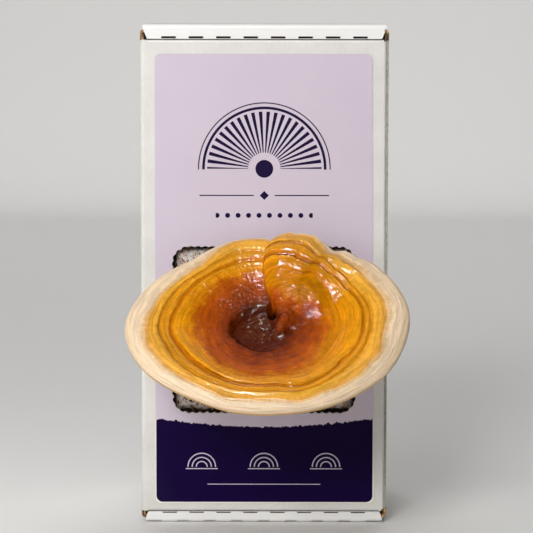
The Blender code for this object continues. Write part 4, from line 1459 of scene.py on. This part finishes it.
    def lid(self, board: Board) -> None:
        """The lid with its window, its dust flaps and its tuck flap."""
        half, front, turn = self.width / 2, -self.depth / 2, self.lid_fold
        right = half - self.board - self.lid_gap
        left, far = -half + self.fold, right - turn
        low, high = self.lid_bottom, self.lid_top
        flap_left, flap_right = -half + self.board + self.gap + 0.001, right - self.board - self.gap
        tuck_low, tuck_high = low + self.tuck_inset, high - self.tuck_inset
        window = [(x, front, z) for x, z in self.window.outline()]
        edge = (
            (left, low), (flap_left, low), (flap_left, low + turn), (flap_right, low + turn),
            (flap_right, low), (far, low), (far, tuck_low), (far, tuck_high), (far, high), (flap_right, high),
            (flap_right, high - turn), (flap_left, high - turn), (flap_left, high), (left, high))
        board.panel([(x, front, z) for x, z in edge], (0, -1, 0), [window])
        for end, z in ((-1, low), (1, high)):
            bend = z - end * turn
            board.crease(
                (flap_left, front, bend), (flap_right, front, bend), (0.0, front + turn, bend), -90 * end,
                steps=6)
            near, reach = front + turn, front + self.dust_flap
            edge = (
                (flap_left, near), (flap_right, near), (flap_right - self.dust_taper, reach),
                (flap_left + self.dust_taper, reach))
            board.panel([(x, y, z) for x, y in edge], (0, 0, end))
        board.crease((far, front, tuck_low), (far, front, tuck_high), (far, front + turn, 0.0), 90)
        deep = front + self.tuck_flap
        neck, nip, taper = self.tuck_taper
        edge = (
            (front + turn, tuck_low), (front + turn, tuck_high), (front + neck, tuck_high - nip),
            (deep, tuck_high - taper), (deep, tuck_low + taper), (front + neck, tuck_low + nip))
        board.panel([(right, y, z) for y, z in edge], (1, 0, 0))

    def dress(self) -> Piece:
        """Give the folded sheets their thickness and make the carton's piece."""
        board = Board()
        self.walls(board)
        for end in (1, -1):
            self.end_wall(board, end)
        self.lid(board)
        finishes = [
            Liner("white_coated_liner", roughness=0.50, ior=1.45),
            # On the kraft liner the strip colour is painted shade, dark inside the rolled ends
            Liner("kraft_liner", roughness=0.85, ior=1.45, colour="#A98558", shade_colour="#8E6B43",
                  painted_strip_colour="#33231A"),
            CutBoard("cut_corrugated_edge", roughness=0.9, ior=1.45)]
        mesh = board.finish("carton_board")
        piece = add_piece("carton_board", mesh, finishes, ["carton"])
        thick = piece.modifiers.new("board", "SOLIDIFY")
        thick.thickness = self.board
        thick.offset = -1.0
        thick.use_even_offset = True
        thick.material_offset = Face.INNER.value
        thick.material_offset_rim = Face.CUT.value
        soft = piece.modifiers.new("worn_edges", "BEVEL")
        soft.width = 0.00012
        soft.segments = 2
        soft.limit_method = "ANGLE"
        soft.angle_limit = math.radians(50.0)
        return piece


@dataclass
class Label:
    """The printed sheet on the lid, torn through with it at the window."""

    carton: Carton = field(default_factory=Carton)
    left: float = -0.0574
    right: float = 0.0563
    # How much further right the lower right corner is
    lean: float = 0.0021
    bottom: float = 0.0105
    top: float = 0.2486
    corner: float = 0.0030
    thickness: float = 0.00028
    corner_steps: int = 8

    def dress(self) -> Piece:
        """Fill the sheet round the window, thicken it, and make the label's piece."""
        front = -self.carton.depth / 2 - 0.00002
        sheet = Board()
        corners = []
        for quarter in range(4):
            centre_x = self.right - self.corner if quarter in (0, 3) else self.left + self.corner
            centre_z = self.top - self.corner if quarter < 2 else self.bottom + self.corner
            for step in range(self.corner_steps + 1):
                turn = math.pi / 2 * (quarter + step / self.corner_steps)
                x = centre_x + self.corner * math.cos(turn)
                z = centre_z + self.corner * math.sin(turn)
                x += self.lean * (self.top - z) / (self.top - self.bottom) * (quarter in (0, 3))
                corners.append((x, front, z))
        window = [(x, front, z) for x, z in self.carton.window.outline(grow=0.00005)]
        sheet.panel(corners, (0, 1, 0), [window])
        finish = PrintedPaper("printed_label_paper", roughness=0.5, ior=1.45, mirror=0.12)
        piece = add_piece("label_sheet", sheet.finish("label_sheet"), [finish], ["label"])
        thick = piece.modifiers.new("paper", "SOLIDIFY")
        thick.thickness = self.thickness
        thick.offset = -1.0
        return piece


@dataclass
class SubstrateBlock:
    """The block of sawdust bound by mycelium, swelling a little in the window."""

    low: Place = (-0.0610, -0.0440, 0.0102)
    high: Place = (0.0590, 0.0465, 0.2480)
    corner: float = 0.011
    cells: tuple[int, int, int] = (44, 34, 84)
    window: Window = field(default_factory=Window)
    swell: float = 0.0032
    chips: int = 1500
    # The chips' least and greatest length, thickness and width, in millimetres
    chip_sizes: Curve = ((0.5, 2.2), (0.3, 0.6), (0.3, 0.9))
    stalk_root: Place = (0.0, -0.0445, 0.0915)

    def skin(self, places: np.ndarray) -> np.ndarray:
        """Move points of the plain brick out to the lumpy skin."""
        low, high = np.array(self.low), np.array(self.high)
        core = np.clip(places, low + self.corner, high - self.corner)
        out = places - core
        length = np.linalg.norm(out, axis=1)[:, None]
        out = out / np.maximum(length, 1e-9)
        places = core + out * np.minimum(length, self.corner)
        lumps = 0.0009 * noise_at(places, 0.012, 31, 2) + 0.0006 * noise_at(places, 0.0035, 32, 2)
        lumps += 0.0004 * np.abs(noise_at(places, 0.0016, 33, 1)) - 0.0008
        edge_x = 1.0 - rise(-0.006, 0.000, np.abs(places[:, 0]) - self.window.width / 2)
        above = np.abs(places[:, 2] - self.window.centre_z)
        edge_z = 1.0 - rise(-0.006, 0.000, above - self.window.height / 2)
        in_window = edge_x * edge_z * (out[:, 1] < -0.5)
        root = np.linalg.norm(places - np.array(self.stalk_root), axis=1)
        collar = 0.0030 * bell(root / 0.021) * (out[:, 1] < -0.5)
        return places + out * (lumps + self.swell * in_window + collar)[:, None]

    def build(self) -> Mesh:
        """Divide a brick finely, most finely behind the window, and swell it."""
        low, high = Vector(self.low), Vector(self.high)
        bm = bmesh.new()
        bmesh.ops.create_cube(bm, size=1.0)
        bmesh.ops.scale(bm, vec=high - low, verts=bm.verts)
        bmesh.ops.translate(bm, vec=(high + low) / 2, verts=bm.verts)
        for axis, cells in enumerate(self.cells):
            along = [edge for edge in bm.edges if abs((edge.verts[0].co - edge.verts[1].co)[axis]) > 1e-6]
            bmesh.ops.subdivide_edges(bm, edges=along, cuts=cells - 1, use_grid_fill=True)
        half_x, half_z = self.window.width / 2 + 0.003, self.window.height / 2 + 0.003
        shown = [
            edge for edge in bm.edges
            if all(v.co.y < low.y + 1e-5 and abs(v.co.x) < half_x
                   and abs(v.co.z - self.window.centre_z) < half_z for v in edge.verts)]
        bmesh.ops.subdivide_edges(bm, edges=shown, cuts=3, use_grid_fill=True)
        mesh = mesh_of("block_mycelium", bm)
        places = vertex_places(mesh)
        from_edge = np.maximum(
            np.abs(places[:, 0]) - self.window.width / 2,
            np.abs(places[:, 2] - self.window.centre_z) - self.window.height / 2)
        # Marks the band along the window's edge that is painted dark as shade
        add_attribute(mesh, "bare", rise(-0.0021, -0.0012, from_edge + 0.0006 * noise_at(places, 0.003, 34)))
        set_places(mesh, self.skin(places))
        return mesh

    def build_chips(self) -> Mesh:
        """Strew chips over the skin behind the window, half sunk in it."""
        chance = random.Random(5)
        spots = np.array([
            (chance.uniform(-0.5, 0.5) * self.window.width, self.low[1],
             self.window.centre_z + chance.uniform(-0.5, 0.5) * self.window.height)
            for _ in range(self.chips)])
        spots = self.skin(spots)
        bm = bmesh.new()
        tone = bm.verts.layers.float.new("tone")
        for spot in spots:
            size = Matrix.Diagonal((*[chance.uniform(*sizes) * MM for sizes in self.chip_sizes], 1.0))
            turned = Matrix.Rotation(chance.uniform(0.0, math.tau), 4, "Y")
            tipped = Matrix.Rotation(chance.uniform(-0.6, 0.6), 4, chance.choice("XZ"))
            made = bmesh.ops.create_cube(
                bm, size=1.0, matrix=Matrix.Translation(spot) @ tipped @ turned @ size)
            own_tone = chance.random()
            for vert in made["verts"]:
                vert[tone] = own_tone
                vert.co += Vector([chance.uniform(-0.12, 0.12) * MM for _ in range(3)])
        return mesh_of("block_chips", bm, smooth=False)

    def dress(self) -> list[Piece]:
        """Make the block's two pieces."""
        felt = Mycelium("mycelium_felt", roughness=0.95, ior=1.4, sheen=0.2)
        wood = Sawdust("hardwood_sawdust", roughness=0.9, ior=1.4)
        return [
            add_piece("block_mycelium", self.build(), [felt], ["substrate_block"]),
            add_piece("block_chips", self.build_chips(), [wood])]


@dataclass(frozen=True)
class Softbox:
    """A square soft light that faces a target.

    Its azimuth is in degrees to the left of the viewer, its elevation in degrees above the target, its
    distance and size in metres, and its power in watts. Matt surfaces show it if it is diffused, and glossy
    ones if it is mirrored.
    """

    name: str
    azimuth: float
    elevation: float
    distance: float
    size: float
    power: float
    target: Place = (0.0, -0.08, 0.13)
    mirrored: bool = False
    diffused: bool = True

    def hang(self) -> None:
        """Put the light in the scene."""
        a, e = math.radians(self.azimuth), math.radians(self.elevation)
        away = Vector((-math.sin(a) * math.cos(e), -math.cos(a) * math.cos(e), math.sin(e)))
        data = bpy.data.lights.new(self.name, "AREA")
        data.size = self.size
        data.energy = self.power
        lamp = bpy.data.objects.new(self.name, data)
        lamp.location = Vector(self.target) + away * self.distance
        lamp.visible_camera = False
        lamp.visible_glossy = self.mirrored
        lamp.visible_diffuse = self.diffused
        lamp.rotation_mode = "QUATERNION"
        lamp.rotation_quaternion = away.to_track_quat("Z", "Y")
        bpy.context.scene.collection.objects.link(lamp)


@dataclass
class Studio:
    """The camera of the photo, soft studio lights, and a plain pale sweep all round."""

    camera_place: Place = (0.0032, -1.307, 0.268)
    pitch: float = math.radians(5.95)
    yaw: float = math.radians(-0.09)
    roll: float = math.radians(0.09)
    lens: float = 162.1
    sensor: float = 36.0
    lights: tuple[Softbox, ...] = (
        Softbox("key_softbox", 17.0, 27.0, 2.30, 0.62, 27.0),
        Softbox("glint_softbox", 14.0, 44.0, 1.1, 0.10, 26.0, mirrored=True, diffused=False),
        Softbox("left_softbox", 58.0, 20.0, 0.50, 0.28, 0.75),
        Softbox("top_softbox", 4.0, 74.0, 1.0, 0.6, 1.3),
        Softbox("floor_softbox", 0.0, 84.0, 2.9, 2.0, 46.0, target=(0.0, 2.0, 0.0)),
        Softbox("wall_softbox", 0.0, 8.0, 2.0, 1.6, 5.0, target=(0.0, 4.0, 0.9)))
    floor_radius: float = 2.0
    sweep_radius: float = 2.2
    wall_height: float = 1.6
    curve_steps: int = 24
    spin_steps: int = 96
    world_colour: str = "#F2F3F5"
    world_strength: float = 0.015

    def camera(self) -> None:
        """Place the camera where the photo was taken from."""
        cp, sp = math.cos(self.pitch), math.sin(self.pitch)
        ahead = Vector((math.sin(self.yaw) * cp, math.cos(self.yaw) * cp, -sp))
        right = Vector((math.cos(self.yaw), -math.sin(self.yaw), 0.0))
        up = right.cross(ahead)
        cr, sr = math.cos(self.roll), math.sin(self.roll)
        columns = Matrix((cr * right + sr * up, cr * up - sr * right, -ahead)).transposed()
        data = bpy.data.cameras.new("camera")
        data.lens = self.lens
        data.sensor_width = self.sensor
        camera = bpy.data.objects.new("camera", data)
        camera.matrix_world = Matrix.Translation(self.camera_place) @ columns.to_4x4()
        bpy.context.scene.collection.objects.link(camera)
        bpy.context.scene.camera = camera

    def sweep(self) -> None:
        """Turn the floor's and wall's profile all the way round."""
        bm = bmesh.new()
        profile = [Vector((0.0, 0.0, 0.0)), Vector((self.floor_radius, 0.0, 0.0))]
        for step in range(1, self.curve_steps + 1):
            turn = math.pi / 2 * step / self.curve_steps
            out, high = math.sin(turn), 1.0 - math.cos(turn)
            profile.append(profile[1] + self.sweep_radius * Vector((out, 0.0, high)))
        profile.append(profile[-1] + self.wall_height * UP)
        verts = [bm.verts.new(place) for place in profile]
        edges = [bm.edges.new(pair) for pair in zip(verts, verts[1:])]
        bmesh.ops.spin(
            bm, geom=[*verts, *edges], cent=(0.0, 0.0, 0.0), axis=UP, dvec=(0.0, 0.0, 0.0),
            angle=math.tau, steps=self.spin_steps, use_merge=True, use_duplicate=False)
        bmesh.ops.remove_doubles(bm, verts=bm.verts, dist=1e-5)
        for face in bm.faces:
            face.normal_update()
            if face.normal.dot(UP - face.calc_center_median()) < 0.0:
                face.normal_flip()
        sweep = bpy.data.objects.new("studio_sweep", mesh_of("studio_sweep", bm))
        bpy.context.scene.collection.objects.link(sweep)
        sweep.data.materials.append(StudioPaper("studio_paper", roughness=0.9).material())
        sweep.visible_glossy = False
        sweep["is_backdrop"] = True

    def world(self) -> None:
        """Fill the room with faint even light, and show colours as they are."""
        world = bpy.data.worlds.new("studio")
        world.use_nodes = True
        background = world.node_tree.nodes["Background"]
        background.inputs["Color"].default_value = linear(self.world_colour)
        background.inputs["Strength"].default_value = self.world_strength
        bpy.context.scene.world = world
        bpy.context.scene.view_settings.view_transform = "Standard"

    def build(self) -> None:
        """Set the whole studio up."""
        self.camera()
        for light in self.lights:
            light.hang()
        self.sweep()
        self.world()


def write_size() -> None:
    """Work out the CAD model's box and the visual model's box; nothing is written or kept."""
    boxes = {"cad": CAD_BOX, "visual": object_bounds()}
    boxes = {name: [list(corner) for corner in box] for name, box in boxes.items()}


def main() -> None:
    logging.basicConfig(level=logging.INFO, format="%(name)s %(message)s")
    carton = Carton()
    carton.dress()
    Label(carton=carton).dress()
    SubstrateBlock(window=carton.window).dress()
    cap = Cap()
    Stalk(cap=cap).dress()
    cap.dress()
    Studio().build()
    write_size()


if __name__ == "__main__":
    main()
